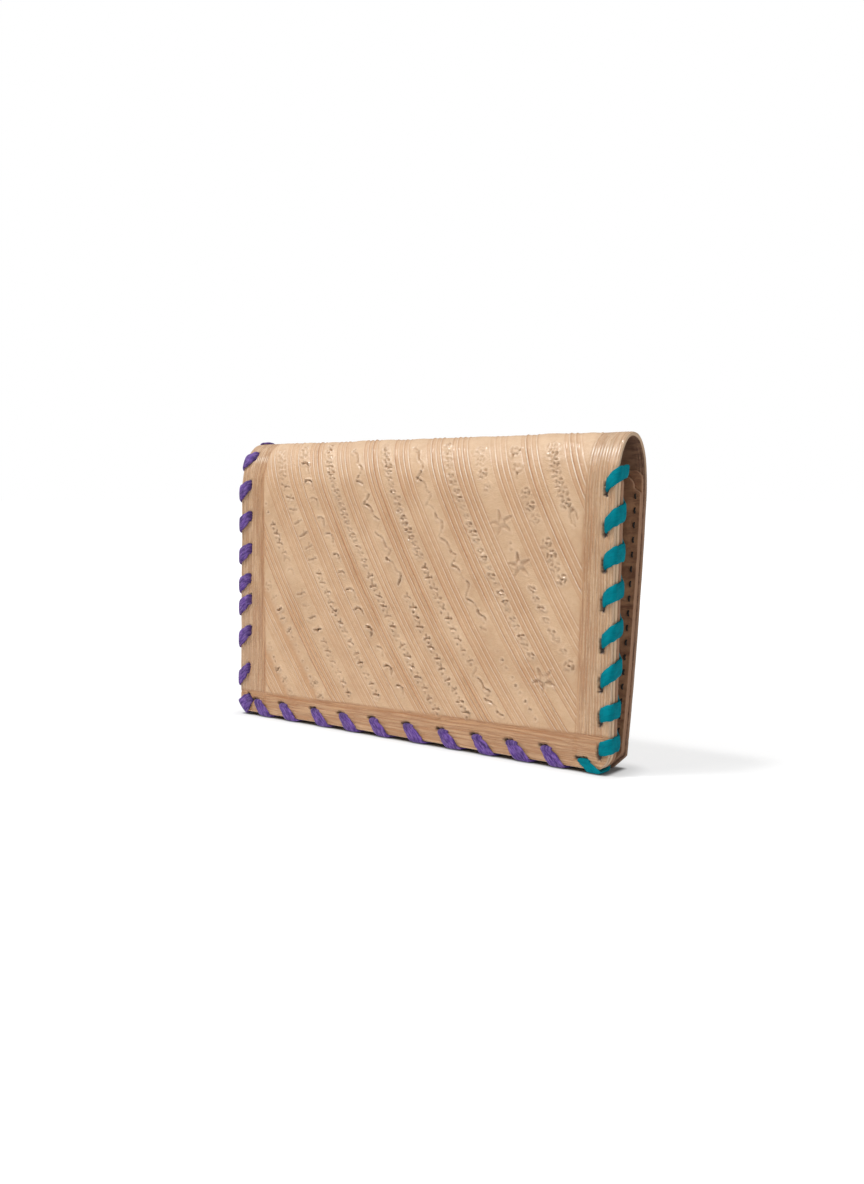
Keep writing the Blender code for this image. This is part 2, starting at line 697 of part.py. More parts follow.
def make_back_cover(crest_turn):
    """The back half of the outer leather, with the bands running on down it."""
    top = S_CREST + FOLD_GAP / 2
    plate = flat_plate("back_cover", cover_back_outline(top), 0.0, COVER_THICK)
    lines = Cutter()
    past = top - CUTTER_OVERRUN
    left = FRAME_SIDE
    right = WIDTH - FRAME_SIDE
    bottom = S_FOOT - FRAME_BOTTOM
    lines.pressed_line([(left, past), (left, bottom), (right, bottom), (right, past)], LINE_WIDTH)
    tooled_lines(lines, past, bottom - FRAME_CLEARANCE, (0.0,))
    slots = stitch_slots("back_cover_slots", 0.0, COVER_THICK)
    crest_slot = lace_slots("crest_slot", [crest_turn], 0.0, COVER_THICK, S_FOOT)
    cut_and_bend(plate, [slots, crest_slot, lines.build("back_lines")], TAN, 0.45)
    return plate


def make_back_panel():
    top = -COVER_THICK - LAYER_GAP
    plate = flat_plate("back_panel", panel_outline(), top, BACK_LAYER_THICK)
    cut_and_bend(plate, [stitch_slots("panel_slots", top, BACK_LAYER_THICK)], FLESH_BROWN, 0.7)
    return plate


def make_back_pocket():
    top = -COVER_THICK - BACK_LAYER_THICK - 2 * LAYER_GAP
    plate = flat_plate("back_pocket", t_pocket_outline(), top, BACK_LAYER_THICK)
    cut_and_bend(plate, [stitch_slots("t_pocket_slots", top, BACK_LAYER_THICK)], FLESH_BROWN, 0.7)
    return plate


def make_pocket_stitches():
    """One thread: long stitches on the cover's face, dipping into each slot for a short one inside."""
    outside = THREAD_GAP + THREAD_THICK / 2
    inside = THREAD_THICK / 2 - BACK_STACK
    half = THREAD_TURN / 2
    sections = []
    for middle, along in stitch_places():
        across = np.array([along[1], -along[0], 0.0])
        for e, h, turn in ((-half, outside, (1, 1)), (-half, inside, (1, 1)),
                           (half, inside, (-1, 1)), (half, outside, (-1, 1))):
            centre = np.array([middle[0] + e * along[0], middle[1] + e * along[1], h])
            normal = np.array([turn[0] * along[0], turn[0] * along[1], turn[1]])
            sections.append((centre, normal, across, THREAD_WIDTH))
    return ribbon("pocket_stitches", sections, THREAD_THICK, DARK_THREAD)


def main():
    clear_scene()
    purple = left_turns() + [corner_turn()] + bottom_turns()
    teal = teal_turns()
    crest_turn = LaceTurn((0, S_CREST + CREST_LACE_PAST_CREST), (1, 0), (0, -1), CREST_LACE_INSET, 0.0,
                          edge_lean=0.0, hole_depth=COVER_THICK, wrap_depth=COVER_THICK, width=LACE_PINCH)
    hinge = bpy.data.objects.new("fold_hinge", None)
    bpy.context.scene.collection.objects.link(hinge)
    hinge.location = (0.0, CREST_DEPTH - DEPTH_CENTRE, HEIGHT)
    bpy.context.view_layer.update()

    front = [
        make_front_cover(purple + teal),
        make_front_lining(purple + teal),
        make_front_pocket(purple + teal),
        lace("purple_lace", purple, PURPLE),
        lace("teal_lace", teal, TEAL),
    ]
    for piece in front:
        piece.parent = hinge
        piece.matrix_parent_inverse = hinge.matrix_world.inverted()

    make_back_cover(crest_turn)
    make_back_panel()
    make_back_pocket()
    make_pocket_stitches()
    lace("crest_lace", [crest_turn], PURPLE)


main()
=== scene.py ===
"""Looks of a small folded clutch: hand-tooled tan leather, whip-stitched with purple and teal suede.

Every leather and lace is drawn flat, in millimetres, and then bent onto the folded clutch:
    x  across the sheet, 0 at its left edge
    s  along the outer surface: 0 at the floor in front, up over the fold and down the back
    h  height above the outer surface, negative into the leather
"""
import json
import math

import bpy
import numpy as np
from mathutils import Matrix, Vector
from mathutils.geometry import delaunay_2d_cdt

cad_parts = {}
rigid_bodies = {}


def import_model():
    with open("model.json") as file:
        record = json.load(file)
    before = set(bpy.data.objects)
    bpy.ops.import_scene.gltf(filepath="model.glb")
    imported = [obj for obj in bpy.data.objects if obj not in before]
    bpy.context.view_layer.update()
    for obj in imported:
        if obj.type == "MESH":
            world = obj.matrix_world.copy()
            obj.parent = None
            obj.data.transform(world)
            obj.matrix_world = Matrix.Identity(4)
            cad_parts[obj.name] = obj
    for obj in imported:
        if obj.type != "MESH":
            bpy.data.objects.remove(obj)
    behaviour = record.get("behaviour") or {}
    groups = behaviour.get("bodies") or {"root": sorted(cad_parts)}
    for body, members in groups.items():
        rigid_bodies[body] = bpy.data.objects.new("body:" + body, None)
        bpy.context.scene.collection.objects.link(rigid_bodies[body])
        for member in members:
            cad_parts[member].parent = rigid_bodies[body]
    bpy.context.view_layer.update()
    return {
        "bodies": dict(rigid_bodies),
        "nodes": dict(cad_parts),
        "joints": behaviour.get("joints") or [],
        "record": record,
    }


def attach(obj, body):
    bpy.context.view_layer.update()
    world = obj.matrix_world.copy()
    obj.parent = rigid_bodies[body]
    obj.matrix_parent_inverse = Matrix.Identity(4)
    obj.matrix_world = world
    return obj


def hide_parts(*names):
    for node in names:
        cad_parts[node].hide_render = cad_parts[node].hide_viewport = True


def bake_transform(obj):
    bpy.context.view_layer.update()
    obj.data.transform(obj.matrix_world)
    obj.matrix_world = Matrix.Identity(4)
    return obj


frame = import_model()

# The front half of the cover: vegetable-tanned leather about 1.3 mm thick, tooled while damp.
# Slanting bands of creased lines, rows of small stamps between them and a burnished frame are
# pressed into it. It hangs from the fold, which goes on into the back half as the same sheet.
MM = 0.001
WIDTH = 155.0
HEIGHT = 100.0
CREST_DEPTH = 12.4
FRONT_LEAN = math.radians(1.44)
FRONT_SHOULDER = 81.2
FRONT_SHOULDER_RISE = 10.4
FRONT_CREST_RUN = 5.7
BACK_FOOT_DEPTH = 11.2
BACK_SHOULDER_DEPTH = 21.3
BACK_SHOULDER = 78.0
BACK_SHOULDER_RISE = 16.5
BACK_CREST_RUN = 6.0
BACK_BOW = 0.9
COVER_THICK = 1.3
INNER_THICK = 1.5
BACK_LAYER_THICK = 0.9
LAYER_GAP = 0.3
FRONT_STACK = COVER_THICK + 2 * (LAYER_GAP + INNER_THICK)
LACE_STANDOFF = 1.1
THREAD_STANDOFF = 0.8
PROFILE_STEPS = 400
TIGHT_GAP = 0.04
BACK_INNER = COVER_THICK + 2 * (TIGHT_GAP + BACK_LAYER_THICK)


def bezier(start, pull_out, pull_in, end):
    """Cubic curve: the four points weighted by the Bernstein polynomials of t."""
    t = np.linspace(0.0, 1.0, PROFILE_STEPS)[:, None]
    return ((1 - t) ** 3 * start + 3 * (1 - t) ** 2 * t * pull_out
            + 3 * (1 - t) * t ** 2 * pull_in + t ** 3 * end)


def fold_profile():
    """Depth and height of the outer surface: a leaning line, two cubic shoulders, a bowed parabola."""
    crest = np.array([CREST_DEPTH, HEIGHT])
    lean = np.array([math.sin(FRONT_LEAN), math.cos(FRONT_LEAN)])
    foot = LACE_STANDOFF * lean[1] + FRONT_STACK * lean[0]
    up = np.linspace(foot, FRONT_SHOULDER, PROFILE_STEPS)
    front = np.stack([up * lean[0] / lean[1], up], axis=1)
    over = bezier(front[-1], front[-1] + FRONT_SHOULDER_RISE * lean, crest - (FRONT_CREST_RUN, 0.0), crest)
    part = np.linspace(1.0, 0.0, PROFILE_STEPS)
    spread = BACK_SHOULDER_DEPTH - BACK_FOOT_DEPTH
    bowed = BACK_FOOT_DEPTH + spread * part + 4 * BACK_BOW * part * (1 - part)
    back = np.stack([bowed, BACK_SHOULDER * part], axis=1)
    slope = (spread - 4 * BACK_BOW) / BACK_SHOULDER
    pull = back[0] + BACK_SHOULDER_RISE * np.array([slope, 1.0]) / math.hypot(slope, 1.0)
    down = bezier(crest, crest + (BACK_CREST_RUN, 0.0), pull, back[0])
    points = np.concatenate([front, over[1:], down[1:], back[1:]])
    along = np.cumsum(np.r_[foot / lean[1], np.hypot(*np.diff(points, axis=0).T)])
    return points, along, along[2 * PROFILE_STEPS - 2]


PROFILE, ALONG, S_CREST = fold_profile()
S_FRONT = ALONG[0]
S_FOOT = ALONG[-1]
TANGENT = np.gradient(PROFILE, ALONG, axis=0)
TANGENT /= np.linalg.norm(TANGENT, axis=1)[:, None]
DEPTH_CENTRE = (PROFILE[:, 0].max() + THREAD_STANDOFF - LACE_STANDOFF) / 2
HINGE = (0.0, MM * (CREST_DEPTH - DEPTH_CENTRE), MM * HEIGHT)
HINGE_REACH = 0.0055


def bend(x, s, h):
    """World place of sheet points: along the profile by s, then off it along its normal by h."""
    inside = np.clip(s, S_FRONT, S_FOOT)
    depth_step = np.interp(inside, ALONG, TANGENT[:, 0])
    height_step = np.interp(inside, ALONG, TANGENT[:, 1])
    depth = np.interp(inside, ALONG, PROFILE[:, 0]) + (s - inside) * depth_step - h * height_step
    height = np.interp(inside, ALONG, PROFILE[:, 1]) + (s - inside) * height_step + h * depth_step
    return MM * np.stack([x - WIDTH / 2, depth - DEPTH_CENTRE, height], axis=-1)


def smooth(low, high, value):
    """0 below low, 1 above high, and a cubic ease between them."""
    t = np.clip((value - low) / (high - low), 0.0, 1.0)
    return t * t * (3 - 2 * t)


def ripple(x, s, size, seed):
    """Soft unevenness between -1 and 1: the mean of eight sine waves about size long."""
    dice = np.random.default_rng(seed)
    turn = dice.uniform(0.0, math.pi, 8)
    wave = 2 * math.pi / (size * dice.uniform(0.6, 1.7, 8))
    shift = dice.uniform(0.0, 2 * math.pi, 8)
    total = np.zeros_like(x)
    for k in range(8):
        total += np.sin(wave[k] * (x * math.cos(turn[k]) + s * math.sin(turn[k])) + shift[k])
    return total / 4


def put_mark(mesh, name, values):
    """Store one number, or one row of three, for each of a mesh's points."""
    kind, field = ("FLOAT", "value") if values.ndim == 1 else ("FLOAT_VECTOR", "vector")
    mesh.attributes.new(name, kind, "POINT").data.foreach_set(field, values.astype(np.float32).ravel())


def placed_object(name, data):
    """A new object at the origin that holds this mesh, lamp or camera."""
    made = bpy.data.objects.new(name, data)
    bpy.context.scene.collection.objects.link(made)
    return made


RIM_TURNS = np.linspace(0.0, math.pi, 7)[1:]
RIM_FLESH = np.linspace(0.4, 1.0, len(RIM_TURNS))
RIM_SQUARENESS = 0.6
SLIVER = 0.05
SHARP_EDGE = math.radians(60)


def leather_sheet(name, rows, columns, lean, sides, face, behind, rim, pitch, work, fold_row=None):
    """A closed sheet of leather: its worked face, a rounded cut edge, and a plain other face.

    The worked face is a grid of rows at constant s and columns at constant x - lean(s), stopped
    at sides(s) = (left, right). work(x, s) gives the height to add to it and its point
    attributes. The edge runs round the grid as a superellipse, rim wide, from height face to
    height behind. The other face is a triangulation with points pitch apart. The row fold_row
    (first 0 or last -1) is cut square, where the two halves of the cover meet.
    """
    left, right = sides(rows)
    left, right = left + rim, right - rim
    x = columns[None, :] + lean(rows)[:, None]
    low = np.sum(x <= left[:, None] + SLIVER, axis=1)[:, None] - 1
    high = np.sum(x < right[:, None] - SLIVER, axis=1)[:, None]
    column = np.clip(np.arange(len(columns))[None, :], low, high)
    x = np.take_along_axis(x, np.clip(column, 0, len(columns) - 1), axis=1)
    x = np.where(column == low, left[:, None], np.where(column == high, right[:, None], x))
    place = column + 1 + np.arange(len(rows))[:, None] * (len(columns) + 2)
    _, first, grid = np.unique(place, return_index=True, return_inverse=True)
    grid = grid.reshape(place.shape)
    x = x.ravel()[first]
    s = np.repeat(rows, len(columns))[first]
    added, marks = work(x, s)
    outward = 1 if face > behind else -1
    h = face + outward * added

    a, b, c, d = grid[:-1, :-1].ravel(), grid[:-1, 1:].ravel(), grid[1:, 1:].ravel(), grid[1:, :-1].ravel()
    faces = np.stack([a, b, c, d], axis=1)[(a != b) & (c != d)].tolist()
    faces += np.stack([a, c, d], axis=1)[(a == b) & (c != d)].tolist()
    faces += np.stack([a, b, c], axis=1)[(a != b) & (c == d)].tolist()

    border = np.r_[np.unique(grid[0]), grid[1:-1, -1], np.unique(grid[-1])[::-1], grid[1:-1, 0][::-1]]
    count = len(border)
    run = np.stack([np.roll(a, -1) - np.roll(a, 1) for a in (x[border], s[border])])
    run /= np.hypot(*run)
    width = np.full(count, rim)
    if fold_row is not None:
        width[s[border] == rows[fold_row]] = 0.0
    ring_x, ring_s, ring_h = [x], [s], [h]
    loops = [border]
    for turn in RIM_TURNS:
        out = width * math.sin(turn) ** RIM_SQUARENESS if turn < math.pi else 0.0 * width
        share = (1 - math.copysign(abs(math.cos(turn)) ** RIM_SQUARENESS, math.cos(turn))) / 2
        loops.append(sum(map(len, ring_x)) + np.arange(count))
        ring_x.append(x[border] + out * run[1])
        ring_s.append(s[border] - out * run[0])
        ring_h.append(h[border] * (1 - share) + behind * share)
    for inner, outer in zip(loops[:-1], loops[1:]):
        faces += np.stack([np.roll(inner, -1), inner, outer, np.roll(outer, -1)], axis=1).tolist()

    inside_x, inside_s = (a.ravel() for a in np.meshgrid(np.arange(pitch / 2, WIDTH, pitch),
                                                         np.arange(rows[0] + pitch, rows[-1], pitch)))
    in_left, in_right = sides(inside_s)
    clear = rim + pitch / 2
    keep = (inside_x > in_left + clear) & (inside_x < in_right - clear) & (inside_s < rows[-1] - pitch / 2)
    inside_x, inside_s = inside_x[keep], inside_s[keep]
    spots = np.stack([np.r_[ring_x[-1], inside_x], np.r_[ring_s[-1], inside_s]], axis=1)
    edge = [(i, (i + 1) % count) for i in range(count)]
    plain = delaunay_2d_cdt([Vector(spot) for spot in spots.tolist()], edge, [], 1, 1e-6)
    source = np.array([origin[0] if origin else 0 for origin in plain[3]])
    faces += (loops[-1][0] + source[np.array(plain[2])][:, ::-1]).tolist()

    all_x = np.concatenate(ring_x + [inside_x])
    all_s = np.concatenate(ring_s + [inside_s])
    all_h = np.concatenate(ring_h + [np.full(len(inside_x), behind)])
    if outward < 0:
        faces = [corner[::-1] for corner in faces]
    mesh = bpy.data.meshes.new(name)
    mesh.from_pydata(bend(all_x, all_s, all_h), [], faces)
    mesh.shade_smooth()
    mesh.set_sharp_from_angle(angle=SHARP_EDGE)
    loose = len(all_x) - len(x)
    cut = np.repeat(RIM_FLESH, count)
    marks["flesh"] = np.r_[np.zeros(len(x)), cut, np.ones(loose - len(cut))]
    for key, value in marks.items():
        if len(value) < len(all_x):
            value = np.r_[value, np.tile(value[border], len(RIM_TURNS)), np.zeros(loose - len(cut))]
        put_mark(mesh, key, value)
    put_mark(mesh, "sheet", MM * np.stack([all_x, all_s, all_h], axis=1))
    return placed_object(name, mesh)


# where each band of creased lines crosses the line s = BAND_SET_OUT, and how it runs from there
BAND_AT = np.array([-33.0, -18.0, -2.5, 12.0, 24.0, 35.0, 48.0, 60.5, 74.0, 87.5, 98.0, 112.5, 124.0,
                    139.5, 152.0, 164.5, 177.0, 189.5, 202.0])
BAND_SET_OUT = 95.0
BAND_SLOPE = 0.44
BAND_CURL = 0.002
BAND_HALF = 3.4
CREASE_PITCH = 2.0
CREASE_DEPTH = 0.18
RIDGE_RISE = 0.28
STRIP_CROWN = 0.10


def band_lean(s):
    """How far the bands have gone across the sheet: straight over the fold, a parabola below it."""
    below = BAND_SET_OUT - s
    return BAND_SLOPE * below + BAND_CURL * np.maximum(below, 0.0) ** 2


def frame_depth(x, s):
    """How far a point lies inside the plain frame, in mm; negative on the frame itself."""
    side = np.minimum(s, BAND_SET_OUT)
    left = x - (12.95 - 0.0205 * side)
    right = 143.6 + 0.019 * side - x
    front_foot = s - (8.9 + 0.0175 * (x - 12.0))
    back_foot = S_FOOT - 9.0 - s
    return left, right, np.minimum(front_foot, back_foot)


# each stamp's strokes: how deep, then its points, each a step across and a step up the strip
STAMPS = {
    "bar": ((1.0, -1.1, -0.1, 1.2, 0.2), (0.5, 0.0, 1.0, 0.2, 0.0, 0.1, -1.1), (0.9, 1.2, 0.2, 1.4, 0.5)),
    "long": ((1.0, -1.8, -0.3, 0.2, -0.1, 1.8, 0.5), (0.5, 0.5, 1.5, 0.2, 0.0, 0.3, -1.5)),
    "dot": ((0.9, -0.1, 0.0, 0.15, 0.05),),
    "slash": ((1.0, -1.0, -0.5, 0.9, 0.6), (0.8, -0.6, 1.3, -0.5, 1.35), (0.4, 0.9, 0.6, 1.2, -0.4)),
    "cross": ((0.9, -0.9, -0.8, 0.9, 0.7), (0.7, -0.8, 0.8, 0.7, -0.7), (0.8, -1.6, 0.2, -1.5, 0.3),
              (0.8, 1.4, -0.4, 1.6, -0.3), (0.5, 0.2, 1.4, 0.5, 1.5)),
    "teeth": ((1.0, -1.3, 0.5, -0.5, 0.7), (0.8, -0.6, -0.2, 0.1, -0.5), (1.0, 0.5, 0.7, 1.2, 0.3),
              (0.7, 0.9, -0.6, 1.1, -0.7)),
    "tee": ((1.0, -1.3, 0.1, 0.2, 0.0, 1.2, -0.2), (0.8, 0.0, 1.4, 0.1, 0.2), (0.8, -0.1, -1.7, 0.1, -1.8),
            (0.5, 1.2, -0.2, 1.3, 0.3)),
    "arc": ((0.8, -1.5, -0.1, -0.9, 0.7, 0.1, 0.8, 1.0, 0.2, 1.3, -0.8),),
    "hook": ((0.55, -2.2, 1.3, -1.2, 1.7), (1.1, -1.2, 1.7, 0.0, 1.6, 0.9, 0.9),
             (0.8, 0.9, 0.9, 1.3, -0.1, 1.2, -1.2), (0.4, 1.2, -1.2, 1.5, -2.4)),
    "flower": ((0.9, -0.1, 0.0, 0.1, 0.1), (0.7, -1.4, 0.2, -0.9, 1.0), (0.7, 0.3, 1.2, 1.0, 1.1),
               (0.7, 1.3, 0.0, 1.0, -0.8), (0.6, -0.2, -1.3, -0.9, -0.9), (0.5, -1.7, -0.8, -1.5, -1.2)),
    "star": ((1.0, 0.0, 1.0, -1.0, 3.8, -0.8, 1.0), (0.9, 1.0, 0.2, 3.3, 2.0, 0.8, 1.0),
             (1.0, 0.5, -0.9, 3.0, -2.5, 1.2, -0.4), (0.8, -0.7, -0.7, -1.7, -3.5, -0.1, -1.3),
             (0.9, -0.9, 0.4, -3.9, 0.4, -1.3, -0.3), (0.4, 0.0, 0.2, 0.2, 0.1)),
    "tulip": ((0.9, -1.5, 1.4, -1.3, -0.2, -0.1, -1.1), (0.9, -0.1, -1.1, 1.2, -0.4, 1.6, 1.2),
              (0.6, 1.6, 1.2, 0.6, 0.6, 0.1, 1.6, -0.5, 0.6, -1.5, 1.4), (0.5, 0.0, -1.1, 0.3, -2.6)),
    "leaf": ((0.8, -0.4, 2.8, -1.4, 0.8, -0.8, -1.6, 0.5, -2.7), (0.8, -0.4, 2.8, 0.9, 1.5, 1.3, -0.6),
             (0.5, -0.4, 2.8, 0.2, 0.2, 0.5, -2.7)),
}
# rows of stamps on the front: strip number, stamp, first and last place, and pitch
FRONT_ROWS = (
    (0, "flower", 26.0, 26.0, 1.0), (0, "dot", 22.5, 21.0, 1.5), (0, "cross", 18.5, 11.0, 3.7),
    (1, "flower", 53.0, 48.0, 4.2), (1, "bar", 44.0, 33.0, 3.7), (1, "dot", 30.5, 17.5, 2.6),
    (1, "cross", 15.0, 11.0, 4.0),
    (2, "flower", 88.0, 86.0, 4.0), (2, "dot", 78.0, 75.0, 3.0), (2, "tee", 70.5, 61.5, 3.2),
    (2, "arc", 58.0, 54.0, 4.0), (2, "long", 46.5, 34.0, 4.1), (2, "tee", 30.0, 13.0, 3.3),
    (3, "flower", 97.0, 88.0, 3.0), (3, "long", 84.5, 58.0, 4.3), (3, "tee", 54.0, 12.0, 3.3),
    (4, "flower", 99.0, 96.0, 3.0), (4, "hook", 91.0, 14.0, 6.2),
    (5, "teeth", 99.0, 58.0, 2.1), (5, "tee", 54.0, 13.5, 3.2),
    (6, "vine", 98.0, 52.0, 9.0), (6, "tee", 48.0, 12.0, 3.2),
    (7, "teeth", 99.0, 62.0, 2.1), (7, "tee", 58.0, 30.5, 3.2), (7, "vine", 27.0, 12.0, 8.0),
    (8, "vine", 99.0, 39.0, 9.5), (8, "dot", 33.0, 12.0, 2.4),
    (9, "teeth", 98.0, 34.0, 2.6), (9, "star", 26.0, 26.0, 1.0),
    (10, "flower", 96.0, 84.0, 4.0), (10, "star", 73.0, 73.0, 1.0), (10, "dot", 67.0, 65.0, 2.0),
    (10, "star", 60.0, 60.0, 1.0), (10, "teeth", 53.0, 35.0, 3.0), (10, "flower", 31.0, 31.0, 1.0),
    (11, "tulip", 95.0, 89.0, 6.0), (11, "flower", 82.0, 74.0, 4.0),
    (11, "flower", 67.0, 57.0, 3.4),
    (12, "flower", 97.0, 80.0, 3.0), (12, "leaf", 75.0, 75.0, 1.0),
)
STAMP_SIZES = {"teeth": 0.85, "tee": 0.88, "star": 1.12}
STAR_FIRMNESS = 0.66
STAMP_MARGIN = 1.5
STAMP_LEAN = 0.25
STAMP_SHIFTS = (0.25, 0.15)
STAMP_TURN = 0.2
STAMP_GROWTH = 0.10
STAMP_WEIGHTS = (0.5, 1.1)
STROKE_WEIGHTS = (0.7, 1.1)
VINE_WEIGHTS = (0.2, 0.9)
STROKE_DEPTH = 0.66
STROKE_WIDTH = 0.31
STROKE_REACH = 3.5
LIP_AT = 2.1
LIP_SHARE = 0.45
VINE_STEP = 0.55
VINE_STROKE = 3
VINE_SWING = 1.3
VINE_CURL = 0.6


def strip_middle(strip, s):
    """Where the middle of a strip between two bands runs."""
    return (BAND_AT[strip] + BAND_AT[strip + 1]) / 2 + band_lean(s)


def running_vine(strip, top, bottom, pitch, dice):
    """A sine with its second harmonic along the strip, in strokes of uneven depth."""
    s = np.linspace(top, bottom, int(abs(top - bottom) / VINE_STEP))
    phase = 2 * math.pi * (s - top) / pitch + 0.5 * np.sin(0.31 * s)
    x = strip_middle(strip, s) + VINE_SWING * np.sin(phase) + VINE_CURL * np.sin(2 * phase + 0.7)
    line = np.stack([x, s + 0.5 * np.sin(2 * phase)], axis=1)
    line = line[np.minimum.reduce(frame_depth(x, s)) > STAMP_MARGIN]
    for start in range(0, len(line) - VINE_STROKE, VINE_STROKE):
        yield line[start:start + VINE_STROKE + 1], STROKE_DEPTH * dice.uniform(*VINE_WEIGHTS)


def stamp_strokes(rows, seed):
    """Every stroke of these rows on the sheet, with its depth, each stamp turned towards its strip."""
    dice = np.random.default_rng(seed)
    for strip, kind, top, bottom, pitch in rows:
        if kind == "vine":
            yield from running_vine(strip, top, bottom, pitch, dice)
            continue
        step = pitch if bottom > top else -pitch
        for s in np.arange(top, bottom + step / 2, step):
            s = s + dice.normal(0.0, STAMP_SHIFTS[1])
            x = strip_middle(strip, s) + dice.normal(0.0, STAMP_SHIFTS[0])
            slope = band_lean(s - 0.5) - band_lean(s + 0.5)
            turn = STAMP_LEAN * math.atan(slope) + dice.normal(0.0, STAMP_TURN)
            size = dice.normal(1.0, STAMP_GROWTH) * STAMP_SIZES.get(kind, 1.0)
            firm = STROKE_DEPTH * dice.uniform(*STAMP_WEIGHTS) * (0.9 + 0.1 * smooth(1.5, 4.5, strip))
            if min(frame_depth(x, s)) < STAMP_MARGIN:
                continue
            firm *= STAR_FIRMNESS if kind == "star" else 1.0
            across = size * np.array([math.cos(turn), math.sin(turn)])
            up = size * np.array([-math.sin(turn), math.cos(turn)])
            for depth, *stroke in STAMPS[kind]:
                a, b = np.reshape(stroke, (-1, 2)).T[:, :, None]
                yield np.array([x, s]) + a * across + b * up, firm * depth * dice.uniform(*STROKE_WEIGHTS)


def press(x, s, height, pressed, raised, ragged, line, depth):
    """Press a stroke in: a Gaussian groove round a polyline, with a low lip pushed up beside it."""
    reach = STROKE_REACH * STROKE_WIDTH
    low, high = np.searchsorted(s, (line[:, 1].min() - reach, line[:, 1].max() + reach))
    near = low + np.flatnonzero(np.abs(x[low:high] - (line[:, 0].min() + line[:, 0].max()) / 2)
                                < reach + np.ptp(line[:, 0]) / 2)
    point = np.stack([x[near], s[near]], axis=1)[:, None]
    start, step = line[:-1], np.diff(line, axis=0)
    part = np.clip(((point - start) * step).sum(-1) / (step ** 2).sum(-1), 0.0, 1.0)
    gap = np.linalg.norm(point - start - part[..., None] * step, axis=-1).min(axis=1)
    gap = np.maximum(gap + ragged[near], 0.0)
    groove = np.exp(-(gap / STROKE_WIDTH) ** 2)
    lip = np.exp(-(gap / STROKE_WIDTH - LIP_AT) ** 2)
    height[near] += depth * (LIP_SHARE * lip - groove)
    share = min(depth / STROKE_DEPTH, 1.0)
    pressed[near] = np.maximum(pressed[near], share * groove)
    raised[near] = np.maximum(raised[near], share * lip)


# rise, length and seed of the leather's own waves, then of the raggedness of strokes and slots
LEATHER_WAVES = ((0.12, 34.0, 3), (0.065, 7.0, 4), (0.016, 2.4, 6))
STROKE_WAVES = ((0.13, 1.5, 9), (0.07, 0.8, 10))
SLOT_WAVES = ((0.26, 1.1, 8),)
FIRM_WAVES = ((0.2, 22.0, 5),)
BAND_WEIGHTS = (0.75, 1.25)
RIDGE_WEIGHTS = (0.35, 1.45)
RIDGES = 4
CORNER_SOFTENING = 0.25
FOOT_SOFTENING = 0.2
FOLD_SOFTENING = 0.4
TROUGH_AT = 4.6
TROUGH_HALF = 1.7
TROUGH_DEPTH = 0.22
FRAME_LINE_DEPTH = 0.16
FRAME_LINE_HALF = 0.7
LEFT_LINE_HALF = 0.8
SIDE_STREAK_RISE = 0.035
FOOT_STREAK_RISE = 0.05
PULL_RISE = 0.022
SLOT_DEPTH = 0.7


def waves(x, s, table):
    """The sum of the ripples in a table of rise, length and seed."""
    return sum(rise * ripple(x, s, size, seed) for rise, size, seed in table)


def creased_bands(x, s, inside, from_fold):
    """Height, burnish and marks of the bands.

    A band's ridges are |sin| cubed, CREASE_PITCH apart, each pressed with its own weight and faded
    out at the band's sides, over the fold and at the frame. In the lower left corner, where they
    are shallower, a Gaussian trough runs beside each band.
    """
    across = x - band_lean(s)
    number = np.abs(across[:, None] - BAND_AT).argmin(axis=1)
    across -= BAND_AT[number]
    dice = np.random.default_rng(7)
    weight = dice.uniform(*BAND_WEIGHTS, len(BAND_AT))[number]
    ridge_number = np.clip(np.floor(across / CREASE_PITCH).astype(int) + RIDGES // 2, 0, RIDGES - 1)
    uneven = dice.uniform(*RIDGE_WEIGHTS, (len(BAND_AT), RIDGES))[number, ridge_number]
    corner = 1 - smooth(0.0, 1.0, number - 1.5 + s / 60.0)
    firm = weight * (0.8 + waves(x, s, FIRM_WAVES)) * (1 - CORNER_SOFTENING * corner)
    firm *= 1 - FOOT_SOFTENING * smooth(75.0, 10.0, s) - FOLD_SOFTENING * smooth(13.0, 3.0, from_fold)
    band = inside * (1 - smooth(BAND_HALF - 0.6, BAND_HALF + 0.4, np.abs(across)))
    ridge = np.abs(np.sin(math.pi * across / CREASE_PITCH))
    trough = corner * inside * np.exp(-((across - TROUGH_AT) / TROUGH_HALF) ** 2)
    strip = inside * smooth(BAND_HALF, BAND_HALF + 2.6, np.abs(across))
    height = band * firm * ((CREASE_DEPTH + RIDGE_RISE) * uneven * ridge ** 3 - CREASE_DEPTH)
    height += STRIP_CROWN * strip - TROUGH_DEPTH * trough
    burnish = band * (0.40 + 0.24 * (1 - ridge)) * firm + 0.8 * trough
    return height, burnish, {"across": across, "band": band * firm * uneven}


